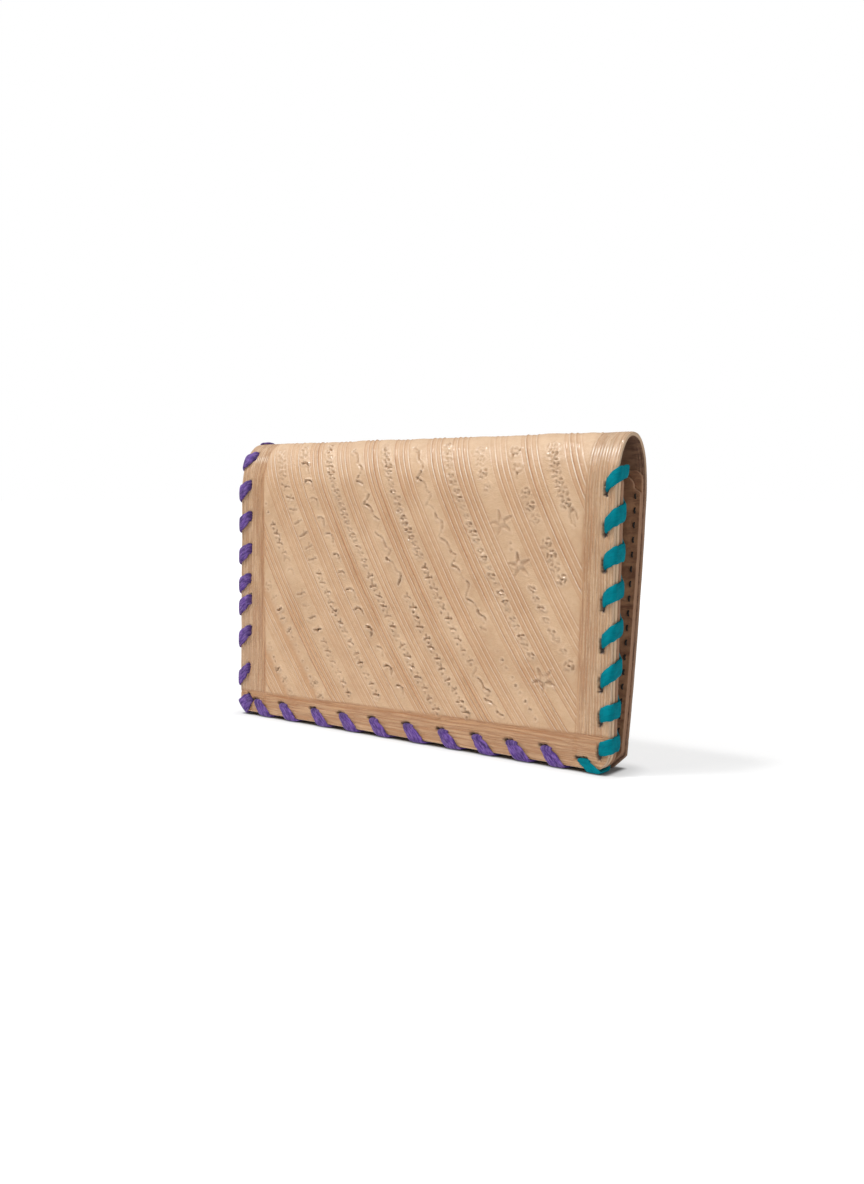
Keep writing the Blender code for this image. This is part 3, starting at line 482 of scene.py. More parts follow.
def plain_frame(x, s, edges, frame, from_fold):
    """Height, burnish and marks of the frame.

    A Gaussian line is pressed round the field. Outside it the leather is streaked with products of
    two sine waves, up the sides and along the foot. The burnish fades from the line outwards as an
    exponential, and is rubbed off over the fold.
    """
    left, right, foot = edges
    low_right = smooth(22.0, 40.0, from_fold)
    line = np.exp(-(left / LEFT_LINE_HALF) ** 2) * smooth(6.0, 14.0, from_fold)
    line += np.exp(-(right / FRAME_LINE_HALF) ** 2) * low_right
    line = np.minimum(line + np.exp(-((foot + 0.4) / FRAME_LINE_HALF) ** 2), 1.0)
    at_foot = frame * smooth(0.6, -0.2, foot)
    at_side = frame - at_foot
    upright = np.sin(6.4 * x + 0.9 * np.sin(0.07 * s)) * (0.6 + 0.4 * np.sin(1.3 * x + 0.03 * s))
    level = np.sin(5.3 * s + 1.1 * np.sin(0.06 * x)) * (0.6 + 0.4 * np.sin(1.7 * s + 0.04 * x))
    height = SIDE_STREAK_RISE * at_side * upright + FOOT_STREAK_RISE * at_foot * level
    height -= FRAME_LINE_DEPTH * line

    near = 1.4 * np.exp(-np.maximum(-left, 0.0) / 3.0) * (left < 0.8)
    near += 0.5 * (right > -2.9) * (right < 0.8) * low_right
    near = np.maximum(np.minimum(near, 1.0) * (foot > 0),
                      np.exp(-np.maximum(-foot, 0.0) / 2.4) * (foot < 0.4))
    rubbed = smooth(16.0, 5.0, from_fold) * (0.4 + 0.5 * (right < 0.0))
    burnish = frame * (0.20 + 0.62 * near + 0.25 * (foot < 0.0)) * (1 - rubbed) + 0.3 * line
    return height, burnish, {"side_frame": at_side, "foot_frame": at_foot}


def lace_slots(x, s, slots):
    """How far each point lies in a slot: a rounded bar with a ragged edge."""
    slot, ragged = np.zeros_like(x), waves(x, s, SLOT_WAVES)
    for slot_x, slot_s, along_x, along_s, half, wide in slots:
        away_x, away_s = x - slot_x, s - slot_s
        along = np.maximum(np.abs(away_x * along_x + away_s * along_s) - half, 0.0)
        gap = np.hypot(along, away_x * along_s - away_s * along_x) + ragged
        slot = np.maximum(slot, smooth(wide + 0.35, wide - 0.15, gap))
    return slot


def tooling(x, s, strokes, slots):
    """Height and marks of the tooled face: creased bands, frame, fold lines, stamps and lace slots."""
    edges = frame_depth(x, s)
    from_fold = np.abs(s - S_CREST)
    inside = smooth(-0.3, 0.8, np.minimum.reduce(edges))
    height, burnish, marks = creased_bands(x, s, inside, from_fold)
    framed, frame_burnish, frame_marks = plain_frame(x, s, edges, 1 - inside, from_fold)
    height += framed + waves(x, s, LEATHER_WAVES)
    pull = np.exp(-((x - WIDTH / 2) / 90.0) ** 2) * smooth(13.0, 5.0, from_fold)
    height += PULL_RISE * pull * np.sin(5.1 * x + 0.4 * s) * (0.5 + 0.5 * np.sin(0.7 * x))

    pressed, raised = np.zeros_like(x), np.zeros_like(x)
    ragged = waves(x, s, STROKE_WAVES)
    for line, depth in strokes:
        press(x, s, height, pressed, raised, ragged, line, depth)
    slot = lace_slots(x, s, slots)
    height -= SLOT_DEPTH * slot
    return height, {**marks, **frame_marks, "burnish": np.clip(burnish + frame_burnish, 0.0, 1.0),
                    "pressed": pressed, "raised": raised, "slot": slot}


STRIP_STEP = 0.37
CORNER_STEP = 0.5
BAND_COLUMNS = np.linspace(-3.5, 3.5, 15)
FIRST_COLUMN = -70.0
FRONT_COLUMNS_END = 162.0
BACK_COLUMNS_START = 0.0


def pressed_columns():
    """Columns of the grid: one on each ridge and crease and between them, closer in the strips."""
    band = BAND_AT[:, None] + BAND_COLUMNS
    strips = [np.linspace(a, b, max(int((b - a) / STRIP_STEP), 1) + 1)[1:-1]
              for a, b in zip(band[:-1, -1], band[1:, 0])]
    before = np.arange(FIRST_COLUMN, band[0, 0] - CORNER_STEP, CORNER_STEP)
    return np.sort(np.concatenate([band.ravel(), *strips, before]))


# the lace holes: each whip stitch leaves a hole, leans along the edge and turns round it
PURPLE_FOOT_LEAN = 3.6
PURPLE_INSET = 4.7
PURPLE_FOOT_INSET = 4.5
TEAL_INSET = 2.9
CORNER_INSET = 4.7
TEAL_FOOT_INSET = 2.5
TEAL_FOOT_LEAN = 3.2
FRONT_CORNER = 5.5
LEFT_DRIFT = np.array([0, 0, 0, -0.9, -0.6, 3.1, 2.6, 0])
LEFT_INSETS = PURPLE_INSET + np.array([-0.2, -0.2, 0.0, 0.2, -0.1, 0.3, 0.2, -0.4])
LEFT_LEANS = np.array([2.4, 2.8, 3.0, 2.8, 2.7, 3.1, 3.4, 3.8])
BOTTOM_DRIFT = np.array([-0.3, -1.2, 0.7, 0.3, 0.4, 1.5, 2.0, 1.7, 0.8, -0.5])
RIGHT_DRIFT = np.array([0, -1.0, -1.9, -1.4, -0.4, -0.1, -0.7, 0])
LEFT_HOLES = np.linspace(S_CREST - 8.5, S_FRONT + 16.3, len(LEFT_DRIFT)) + LEFT_DRIFT
LEFT_STITCHES = np.stack([LEFT_HOLES, LEFT_INSETS, LEFT_LEANS], axis=1)
BOTTOM_HOLES = np.linspace(9.8, WIDTH - 20.7, len(BOTTOM_DRIFT)) + BOTTOM_DRIFT
RIGHT_HOLES = np.linspace(S_FRONT + 6.6, S_CREST - 20.0, len(RIGHT_DRIFT)) + RIGHT_DRIFT
RIGHT_LEANS = np.array([0.9, 0.9, 2.2, 2.3, 1.9, 1.8, 2.3, 2.4])
RIGHT_SPREADS = np.array([0.10, 0.10, 0.30, 0.28, 0.20, 0.18, 0.30, 0.52])
TEAL_FOOT_HOLE = WIDTH - 8.2


def whip_turn(edge, inward, travel, inset, lean, spread, slot=(0.0, 0.0, 1.9, 0.5)):
    """One stitch: where it crosses the edge, its directions, how far in its hole is, and its slot.

    spread is how much the lace goes on along the edge for each mm it goes round it. slot is how
    far the slot's middle lies inward of the lace and back along the edge, and its half sizes.
    """
    edge, inward, travel = (np.array(a, dtype=float) for a in (edge, inward, travel))
    middle = edge + (inset + slot[0]) * inward - (lean + slot[1]) * travel
    return {"edge": edge, "inward": inward, "travel": travel, "inset": inset, "lean": lean, "spread": spread,
            "slot": (*middle, *travel, *slot[2:]), "deep": FRONT_STACK, "wrap": FRONT_STACK, "width": 1.0}


HALF_TURN = math.sqrt(0.5)
CORNER_REACH = FRONT_CORNER * (1 - HALF_TURN)
EDGE_SPREAD = 0.40
RIGHT, LEFT, UP, DOWN = (1, 0), (-1, 0), (0, 1), (0, -1)
PURPLE_TURNS = [whip_turn((0, s - lean), RIGHT, DOWN, inset, lean, EDGE_SPREAD, slot=(0.1, 0.3, 1.2, 0.3))
                for s, inset, lean in LEFT_STITCHES]
PURPLE_TURNS[0]["deep"] = COVER_THICK
PURPLE_TURNS += [whip_turn((CORNER_REACH, S_FRONT + CORNER_REACH), (HALF_TURN, HALF_TURN),
                           (HALF_TURN, -HALF_TURN), CORNER_INSET, 0.0, 0.0, slot=(0.4, 0.0, 1.7, 0.35))]
PURPLE_TURNS += [whip_turn((x + PURPLE_FOOT_LEAN, S_FRONT), UP, RIGHT, PURPLE_FOOT_INSET, PURPLE_FOOT_LEAN,
                           EDGE_SPREAD, slot=(0.25, 1.25, 1.25, 0.40)) for x in BOTTOM_HOLES]
TEAL_TURNS = [whip_turn((TEAL_FOOT_HOLE + TEAL_FOOT_LEAN, S_FRONT), UP, RIGHT, TEAL_FOOT_INSET,
                        TEAL_FOOT_LEAN, 0.0, slot=(0.3, 0.9, 1.7, 0.45))]
TEAL_TURNS += [whip_turn((WIDTH, s + lean), LEFT, UP, TEAL_INSET, lean, spread, slot=(0.30, 1.3, 1.6, 0.60))
               for s, lean, spread in zip(RIGHT_HOLES, RIGHT_LEANS, RIGHT_SPREADS)]
TEAL_TURNS[1]["width"], TEAL_TURNS[2]["width"] = 0.92, 0.95


def front_sides(s):
    """Left and right edge of a front leather: quarter circles at its two bottom corners."""
    up = np.clip(S_FRONT + FRONT_CORNER - s, 0.0, FRONT_CORNER)
    cut = FRONT_CORNER - np.sqrt(FRONT_CORNER ** 2 - up ** 2)
    return cut, WIDTH - cut


def work_front(x, s):
    """The front half's tooling: its own rows of stamps, and a slot at each lace hole."""
    return tooling(x, s, stamp_strokes(FRONT_ROWS, 11), [turn["slot"] for turn in PURPLE_TURNS + TEAL_TURNS])


COVER_RIM = 0.35
COVER_PITCH = 3.0
ROW_STEP = 0.44
FOLD_OVERLAP = 1.0
front_rows = np.arange(S_FRONT + COVER_RIM, S_CREST + FOLD_OVERLAP, ROW_STEP)
cover_columns = pressed_columns()
front_columns = cover_columns[cover_columns < FRONT_COLUMNS_END]
front_leather = leather_sheet("front_leather", front_rows, front_columns, band_lean, front_sides, 0.0,
                              -COVER_THICK, COVER_RIM, COVER_PITCH, work_front, fold_row=-1)


def wire(tree, sockets, inputs):
    """Set sockets, by name or as _0 and _1 by number: from a shade, a number or a colour."""
    for key, value in inputs.items():
        socket = sockets[int(key[1:]) if key[0] == "_" else key.replace("_", " ")]
        if isinstance(value, Shade):
            tree.links.new(value.socket, socket)
        else:
            socket.default_value = (*value, 1.0) if socket.type == "RGBA" else value


def node(tree, kind, output, settings=None, **inputs):
    """One output of a new shader node."""
    made = tree.nodes.new("ShaderNode" + kind)
    for key, value in (settings or {}).items():
        setattr(made, key, value)
    wire(tree, made.inputs, inputs)
    return Shade(tree, made.outputs[output])


class Shade:
    """A number, place or colour that changes over a surface, so that a finish reads as formulas."""

    def __init__(self, tree, socket):
        self.tree, self.socket = tree, socket

    def maths(self, operation, other=0.0):
        return node(self.tree, "Math", 0, {"operation": operation}, _0=self, _1=other)

    def __add__(self, other):
        return self.maths("ADD", other)

    def __sub__(self, other):
        return self.maths("SUBTRACT", other)

    def __mul__(self, other):
        return self.maths("MULTIPLY", other)

    __radd__, __rmul__ = __add__, __mul__

    def steps(self, low, high, to_low=0.0, to_high=1.0):
        """Taken from one range to another, with a smooth step between."""
        return node(self.tree, "MapRange", 0, {"interpolation_type": "SMOOTHSTEP"}, Value=self, From_Min=low,
                    From_Max=high, To_Min=to_low, To_Max=to_high)

    def lay(self, colour, over):
        """A colour laid over another, by this share."""
        return node(self.tree, "Mix", 2, {"data_type": "RGBA"}, Factor=self, _6=over, _7=colour)

    def part(self, axis):
        """One part of this place."""
        return node(self.tree, "SeparateXYZ", axis, Vector=self)

    def drawn(self, scale, turn=0.0):
        """This place turned and scaled. A pattern on it is drawn out where the scale is below 1."""
        return node(self.tree, "Mapping", 0, Vector=self, Scale=scale, Rotation=(0.0, 0.0, turn))

    def noise(self, scale, detail=2.0, rough=0.5, bent=0.0):
        """Noise at this place."""
        return node(self.tree, "TexNoise", "Fac", Vector=self, Scale=scale, Detail=detail, Roughness=rough,
                    Distortion=bent)

    def bumped(self, strength, distance):
        """The normal of a surface with this fine height."""
        return node(self.tree, "Bump", "Normal", Strength=strength, Distance=distance, Height=self)


def mark(tree, name, output="Fac"):
    """A piece's own mark."""
    return node(tree, "Attribute", output, {"attribute_name": name})


def new_group(name, inputs, outputs):
    """An empty shader group with these named inputs (with first values) and outputs."""
    group = bpy.data.node_groups.new(name, "ShaderNodeTree")
    for label, value in inputs.items():
        kind = "NodeSocketVector" if value is None else "NodeSocketFloat"
        socket = group.interface.new_socket(label, in_out="INPUT", socket_type=kind)
        if value is not None:
            socket.default_value = value
    for label in outputs:
        group.interface.new_socket(label, in_out="OUTPUT", socket_type="NodeSocketFloat")
    taken = group.nodes.new("NodeGroupInput").outputs
    return group, [Shade(group, taken[label]) for label in inputs], group.nodes.new("NodeGroupOutput").inputs


def placed(tree, group, **inputs):
    """A group's outputs in a material, by name."""
    made = tree.nodes.new("ShaderNodeGroup")
    made.node_tree = group
    wire(tree, made.inputs, inputs)
    return {output.name: Shade(tree, output) for output in made.outputs}


def finish_of(name):
    """A new material, its tree and its Principled shader's sockets."""
    material = bpy.data.materials.new(name)
    material.use_nodes = True
    tree = material.node_tree
    return material, tree, tree.nodes["Principled BSDF"].inputs


# Grain of smooth leather: tight pores, fine creases and cloudy uptake of the dye.
GRAIN, (grain_place, pore_scale, cloud_scale), grain_out = new_group(
    "leather_grain", {"Place": None, "Pores": 2400.0, "Clouds": 70.0}, ("Height", "Tone", "Cloud"))
pores = node(GRAIN, "TexVoronoi", "Distance", {"feature": "DISTANCE_TO_EDGE"}, Vector=grain_place,
             Scale=pore_scale)
fine = grain_place.noise(pore_scale * 0.45, 4.0, 0.6)
wire(GRAIN, grain_out, {"Height": 0.45 * pores.steps(0.0, 0.25) + fine, "Tone": fine.steps(0.30, 0.70),
                        "Cloud": grain_place.noise(cloud_scale, 5.0, 0.62).steps(0.30, 0.70)})

# Flesh side: the fuzzy, wrinkled back of the hide, with loose fibres lying along it.
FLESH, (flesh_place, wrinkle_scale), flesh_out = new_group(
    "flesh_fibres", {"Place": None, "Wrinkles": 160.0}, ("Height", "Tone"))
wrinkle = flesh_place.drawn((0.35, 1.0, 1.0)).noise(wrinkle_scale, 6.0, 0.7, 0.6)
wire(FLESH, flesh_out, {"Height": wrinkle + 0.35 * flesh_place.noise(1500.0, 3.0, 0.7),
                        "Tone": wrinkle.steps(0.34, 0.62)})

STRIP_TAN = (0.520, 0.332, 0.192)
STRIP_PALE = (0.625, 0.426, 0.262)
BAND_TAN = (0.470, 0.240, 0.105)
FRAME_BROWN = (0.370, 0.165, 0.066)
PIT_BROWN = (0.260, 0.125, 0.052)
# painted shade: near black for the lace slots, which are only shallow dips
SLOT_SHADE = (0.022, 0.013, 0.009)
# painted highlight: a paler colour along the top of the fold
CREST_HIGHLIGHT = (0.700, 0.540, 0.385)
RIDGE_HIGHLIGHT = (0.880, 0.690, 0.510)
# painted glint: near white on ridges and stripes where the front turns into the fold
RIDGE_GLINT = (0.960, 0.860, 0.720)
EDGE_PALE = (0.580, 0.405, 0.265)
EDGE_WORN = (0.300, 0.170, 0.100)
FLESH_DARK = (0.125, 0.058, 0.032)
FLESH_LIGHT = (0.270, 0.145, 0.084)
STRIPE_PITCH = 0.95
# phase of the ridge lines, shifted so that the painted highlight and painted shade fall as light from the
# left would put them
RIDGE_LIGHT_SHIFT = math.pi + 0.5


def ridge_lines(across, band, wander):
    """Painted highlight on a band's ridges and painted shade beside them: a cosine and a sine across it, one
    wave to each ridge.
    """
    wave = (across + 0.5 * wander) * (2 * math.pi / CREASE_PITCH) + RIDGE_LIGHT_SHIFT
    return wave.maths("COSINE").steps(0.45, 1.0) * band, wave.maths("SINE").steps(0.40, 0.95) * band


def frame_lines(sheet, side, foot, wander):
    """Stripes up the sides, laid pale as a painted highlight, and dark streaks along both frames as in wood.

    The stripes are a sine across the sheet, and the streaks noise drawn out along the frame.
    """
    stripe = (sheet.part("X") * (2 * math.pi / (STRIPE_PITCH * MM)) + 9.0 * wander).maths("SINE")
    upright = sheet.drawn((1.0, 0.035, 1.0)).noise(1300.0, 4.0, 0.7)
    level = sheet.drawn((0.03, 1.0, 1.0)).noise(1400.0, 4.0, 0.7)
    return stripe.steps(-0.2, 0.8) * side, upright.steps(0.43, 0.59) * side + level.steps(0.42, 0.58) * foot


def tooled_leather():
    """Tan leather, browner where it is burnished, dark in the stamps, painted shade in the lace slots and a
    painted highlight over the fold.

    Its ridges are painted pale as a highlight, with painted shade beside them, and almost white
    as a painted glint where the front turns over into the fold. Its cut edge is pale in front and
    worn brown behind.
    """
    material, tree, shader = finish_of("tooled_leather")
    burnish, pressed, slot, raised, band, across, flesh = (
        mark(tree, name) for name in ("burnish", "pressed", "slot", "raised", "band", "across", "flesh"))
    sheet = mark(tree, "sheet", "Vector")
    grain = placed(tree, GRAIN, Place=sheet, Pores=1700.0, Clouds=85.0)
    fibres = placed(tree, FLESH, Place=sheet, Wrinkles=380.0)
    wander = sheet.noise(60.0)
    top, groove = ridge_lines(across, band, wander)
    stripe, streak = frame_lines(sheet, mark(tree, "side_frame"), mark(tree, "foot_frame"), wander)
    along = sheet.part("Y")
    to_crest = (along - S_CREST * MM).maths("ABSOLUTE")
    # painted glints: narrow rows on the ridges and stripes of the front shoulder of the fold
    painted_ridge_glint = to_crest.steps(0.005, 0.010) * to_crest.steps(0.022, 0.014) * top
    painted_stripe_glint = to_crest.steps(0.0082, 0.0096) * to_crest.steps(0.0118, 0.0100) * stripe * 0.65

    colour = grain["Cloud"].lay(STRIP_PALE, STRIP_TAN)
    # painted highlight: paler colour close to the crest of the fold, fading within about 19 mm of it
    colour = to_crest.steps(0.002, 0.019, 0.35, 0.0).lay(CREST_HIGHLIGHT, colour)
    colour = (0.80 * burnish).lay(BAND_TAN, colour)
    colour = (streak * (0.42 + 0.55 * burnish)).lay(FRAME_BROWN, colour)
    # painted shade on one flank of each ridge
    colour = (0.75 * groove).lay(FRAME_BROWN, colour)
    # painted highlight on the ridges, the frame stripes and the raised lips of the stamps
    colour = (0.80 * top + 0.13 * stripe + 0.28 * raised).lay(RIDGE_HIGHLIGHT, colour)
    # painted glints, near white, on the shoulder of the fold
    colour = painted_ridge_glint.lay(RIDGE_GLINT, colour)
    colour = painted_stripe_glint.lay(RIDGE_GLINT, colour)
    colour = (0.20 + -0.20 * grain["Tone"]).lay(BAND_TAN, colour)
    colour = (0.50 * pressed).lay(PIT_BROWN, colour)
    # painted shade: the lace slots laid near black, as if they were deep holes
    colour = slot.lay(SLOT_SHADE, colour)
    cut = along.steps((S_CREST + 3) * MM, (S_CREST + 24) * MM).lay(EDGE_WORN, EDGE_PALE)
    colour = flesh.steps(0.05, 0.45).lay(cut, colour)
    colour = flesh.steps(0.80, 1.0).lay(fibres["Tone"].lay(FLESH_LIGHT, FLESH_DARK), colour)

    rough = 0.46 + 0.12 * grain["Tone"] + -0.12 * burnish + 0.35 * flesh + -0.20 * (top + stripe)
    height = grain["Height"] + -0.9 * streak + top + stripe
    wire(tree, shader, {"Base Color": colour, "Roughness": rough, "Normal": height.bumped(0.8, 0.00020),
                        "Coat Weight": 0.06 + top + 0.22 * stripe + 0.35 * raised,
                        "Coat Roughness": 0.13, "Coat IOR": 1.65})
    return material


TOOLED = tooled_leather()
front_leather.data.materials.append(TOOLED)
BEND_START = (0.0, HINGE[1] - HINGE_REACH, HINGE[2])
BEND_END = (0.0, HINGE[1] + HINGE_REACH, HINGE[2])
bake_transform(front_leather)
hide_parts("front_cover")


# The back half of the cover: the same sheet going on down behind, with the bands running on
# across it. Its bottom corners are cut off at a slant, and it is sewn to the layers inside it.
BACK_CLIP = 4.2
BACK_ROW_STEP = 0.6
BACK_STRIPS = (("bar", 4.3), ("teeth", 2.6), ("vine", 9.0), ("teeth", 2.6), ("vine", 9.0), ("bar", 4.3),
               ("hook", 6.6), ("slash", 4.4), ("tulip", 7.4), ("teeth", 2.6), ("vine", 9.0), ("bar", 4.3),
               ("hook", 6.6), ("cross", 3.4))
BACK_ROWS = [(strip, kind, 109.0, 199.0, pitch) for strip, (kind, pitch) in enumerate(BACK_STRIPS, 4)]
BACK_FACE = -0.03


def back_sides(s):
    """Left and right edge of the back half: its bottom corners clipped at 45 degrees."""
    cut = np.clip(s - (S_FOOT - BACK_CLIP), 0.0, BACK_CLIP)
    return cut, WIDTH - cut


def work_back(x, s):
    """The back half's tooling: one row of stamps down each strip, and no lace holes."""
    return tooling(x, s, stamp_strokes(BACK_ROWS, 12), [])


back_end = S_FOOT - COVER_RIM
back_rows = np.append(np.arange(S_CREST - FOLD_OVERLAP, back_end, BACK_ROW_STEP), back_end)
back_columns = cover_columns[cover_columns > BACK_COLUMNS_START]
back_leather = leather_sheet("back_leather", back_rows, back_columns, band_lean, back_sides, BACK_FACE,
                             -COVER_THICK, COVER_RIM, COVER_PITCH, work_back, fold_row=0)
back_leather.data.materials.append(TOOLED)
BACK_TILT = math.radians(6.0)
BACK_BEND = Vector((0.0, HINGE_REACH * math.cos(BACK_TILT), -HINGE_REACH * math.sin(BACK_TILT)))
BACK_START, BACK_END = Vector(HINGE) - BACK_BEND, Vector(HINGE) + BACK_BEND
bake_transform(back_leather)
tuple(BACK_START)
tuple(BACK_END)
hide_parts("back_cover")


# The lining and the slip pocket of the front half: two more leathers behind the cover, laced to
# it round three sides and open at the top. The pocket is the rougher of the two.
INNER_RIM = 0.3
INNER_CORNER = 3.0
INNER_PITCH = 3.5
LINING_TOP = 88.8
SLIP_POCKET_TOP = 87.0


def straight(s):
    """No lean: columns square to the rows."""
    return np.zeros_like(s)


def rounded_top(s, top, corner):
    """How far a sheet's rounded top corners come in at each s."""
    up = np.clip(corner - np.abs(s - top), 0.0, corner)
    return corner - np.sqrt(corner ** 2 - up ** 2)


def front_layer_sides(top):
    """Edges of a front layer that ends at this height along the sheet."""
    def sides(s):
        left, right = front_sides(s)
        cut = rounded_top(s, top, INNER_CORNER)
        return left + cut, right - cut
    return sides


def worn(seed):
    """Soft waves and dents of a plain leather."""
    def work(x, s):
        height = waves(x, s, ((0.10, 30.0, seed), (0.05, 6.0, seed + 1)))
        return height, {"worn": np.clip(0.5 + 0.5 * ripple(x, s, 12.0, seed + 2), 0.0, 1.0)}
    return work


BROWN_TONES = {"dark": (0.165, 0.068, 0.034), "light": (0.420, 0.218, 0.114), "edge": (0.310, 0.172, 0.102)}
PALE_TONES = {"dark": (0.330, 0.205, 0.120), "light": (0.560, 0.385, 0.235), "edge": EDGE_PALE}


def inner_leather(name, wrinkles, dark, light, edge):
    """Leather seen from its flesh side: fuzzy, with darker wrinkles, and another tone where it is cut."""
    material, tree, shader = finish_of(name)
    flesh, sheet = mark(tree, "flesh"), mark(tree, "sheet", "Vector")
    grain = placed(tree, GRAIN, Place=sheet, Pores=1900.0, Clouds=120.0)
    fibres = placed(tree, FLESH, Place=sheet, Wrinkles=wrinkles)
    colour = (fibres["Tone"] * (0.6 + 0.4 * mark(tree, "worn"))).lay(light, dark)
    colour = (0.25 * grain["Cloud"]).lay(light, colour)
    cut = flesh.steps(0.05, 0.45) * flesh.steps(0.80, 1.0, 1.0, 0.0) * 0.85
    wire(tree, shader, {"Base Color": cut.lay(edge, colour), "Roughness": 0.68 + 0.18 * grain["Tone"],
                        "Normal": fibres["Height"].bumped(0.7, 0.0003)})
    return material


PALE = inner_leather("pale_leather", 140.0, **PALE_TONES)
BROWN = inner_leather("brown_leather", 300.0, **BROWN_TONES)
layer_columns = np.arange(-1.0, WIDTH + 1.0, 1.1)
for piece_name, node_name, top, height, material, slot, seed in (
        ("lining_leather", "front_lining", -COVER_THICK - LAYER_GAP, LINING_TOP, PALE, "pale_leather", 21),
        ("slip_pocket_leather", "front_pocket", -COVER_THICK - INNER_THICK - 2 * LAYER_GAP, SLIP_POCKET_TOP,
         BROWN, "brown_leather", 24)):
    end = S_FRONT + height
    layer_rows = np.append(np.arange(S_FRONT + INNER_RIM, end - INNER_RIM - 0.3, 0.9), end - INNER_RIM)
    layer = leather_sheet(piece_name, layer_rows, layer_columns, straight, front_layer_sides(end),
                          top - INNER_THICK, top, INNER_RIM, INNER_PITCH, worn(seed))
    layer.data.materials.append(material)
    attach(layer, "front")
    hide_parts(node_name)


# The panel and the T-shaped pocket of the back half: two thinner leathers sewn flat inside the
# back cover, with rounded tops. The pocket's neck is narrower above the row of stitches.
PANEL_INSET = 0.5
PANEL_TOP = 89.0
PANEL_FOOT_GAP = 0.6
POCKET_TOP = 87.0
POCKET_STEP = 83.0
STEP_DROP = 0.8
NECK_INSET = 2.8
STITCH_PITCH = 4.4
STITCH_INSET = 2.2
STITCH_TOP = 81.0
STITCH_DIP = 0.16
STITCH_RIDGE = 0.14


def back_at(height):
    """How far along the sheet the back half comes down to this height."""
    behind = ALONG >= S_CREST
    return float(np.interp(-height, -PROFILE[behind, 1], ALONG[behind]))


def back_layer_sides(top, neck):
    """Edges of a back layer: rounded top corners, a neck above the step, clipped foot corners."""
    step, drop = back_at(POCKET_STEP), back_at(POCKET_STEP - STEP_DROP)

    def sides(s):
        inset = neck + (PANEL_INSET - neck) * np.clip((s - step) / (drop - step), 0.0, 1.0)
        inset = inset + rounded_top(s, top, INNER_CORNER)
        inset = inset + np.clip(s - (S_FOOT - PANEL_FOOT_GAP - BACK_CLIP), 0.0, BACK_CLIP)
        return inset, WIDTH - inset
    return sides


def stitched(seed):
    """Waves of a sewn leather, pulled down along the stitch row with a low ridge inside it."""
    def work(x, s):
        height, marks = worn(seed)(x, s)
        side = np.minimum(x, WIDTH - x) - STITCH_INSET
        foot = S_FOOT - STITCH_INSET - s
        near = np.where(s > back_at(STITCH_TOP), np.minimum(side, foot), 9.0)
        height -= STITCH_DIP * np.exp(-(near / 0.9) ** 2)
        height += STITCH_RIDGE * np.exp(-((near - 2.4) / 1.0) ** 2)
        return height, marks
    return work


for piece_name, node_name, top, height, neck, seed in (
        ("panel_leather", "back_panel", -COVER_THICK - TIGHT_GAP, PANEL_TOP, PANEL_INSET, 31),
        ("t_pocket_leather", "back_pocket", -COVER_THICK - BACK_LAYER_THICK - 2 * TIGHT_GAP, POCKET_TOP,
         NECK_INSET, 34)):
    start = back_at(height)
    end = S_FOOT - PANEL_FOOT_GAP
    layer_rows = np.append(np.arange(start + INNER_RIM, end - INNER_RIM - 0.3, 0.8), end - INNER_RIM)
    layer = leather_sheet(piece_name, layer_rows, layer_columns, straight, back_layer_sides(start, neck),
                          top - BACK_LAYER_THICK, top, INNER_RIM, INNER_PITCH, stitched(seed))
    layer.data.materials.append(BROWN)
    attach(layer, "back")
    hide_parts(node_name)


# The stitching of the back half: one waxed dark thread in a running stitch, through the cover,
# the panel and the pocket, down one side, along the bottom and up the other.
THREAD_RADIUS = 0.30
THREAD_SIDES = 10
THREAD_STEP = 0.22


def stitch_places():
    """Middle and direction of each inside stitch, in order round the back half."""
    low = S_FOOT - STITCH_INSET
    side = np.arange(back_at(STITCH_TOP), low - STITCH_PITCH / 2, STITCH_PITCH)
    count = round((WIDTH - 2 * STITCH_INSET) / STITCH_PITCH)
    bottom = np.linspace(STITCH_INSET, WIDTH - STITCH_INSET, count + 1)[1:-1]
    left = np.stack([np.full_like(side, STITCH_INSET), side, np.zeros_like(side), np.ones_like(side)], axis=1)
    foot = np.stack([bottom, np.full_like(bottom, low), np.ones_like(bottom), np.zeros_like(bottom)], axis=1)
    right = np.stack([np.full_like(side, WIDTH - STITCH_INSET), side[::-1], np.zeros_like(side),
                      -np.ones_like(side)], axis=1)
    return np.concatenate([left, foot, right])


def running_stitch(places):
    """Path of the thread: flat under each place, up through both holes, and over to the next one."""
    inner = -BACK_INNER - THREAD_RADIUS + 0.1
    outer = THREAD_RADIUS - 0.1
    half = np.array([(0.0, inner - 0.08), (0.6, inner + 0.1), (0.8, inner + 0.8), (0.8, -0.8),
                     (0.92, outer - 0.2), (1.3, outer)])
    shape = np.concatenate([half[:0:-1] * (-1, 1), half])
    along = places[:, None, 2:] * shape[None, :, :1]
    middle = places[:, None, :2] + along
    height = np.broadcast_to(shape[None, :, 1:], (*middle.shape[:2], 1))
    return np.concatenate([middle, height], axis=2).reshape(-1, 3)


def rounds(path, side, lift):
    """A tube: each ring is path + side and lift times the ring's own cosine and sine, ends capped."""
    rings, sides = side.shape[0], side.shape[1]
    points = path[:, None] + side + lift
    grid = np.arange(rings * sides).reshape(rings, sides)
    a, b = grid[:-1], np.roll(grid, -1, axis=1)[:-1]
    c, d = np.roll(grid, -1, axis=1)[1:], grid[1:]
    faces = np.stack([a, d, c, b], axis=-1).reshape(-1, 4).tolist()
    return points.reshape(-1, 3), faces + [grid[0].tolist(), grid[-1][::-1].tolist()]


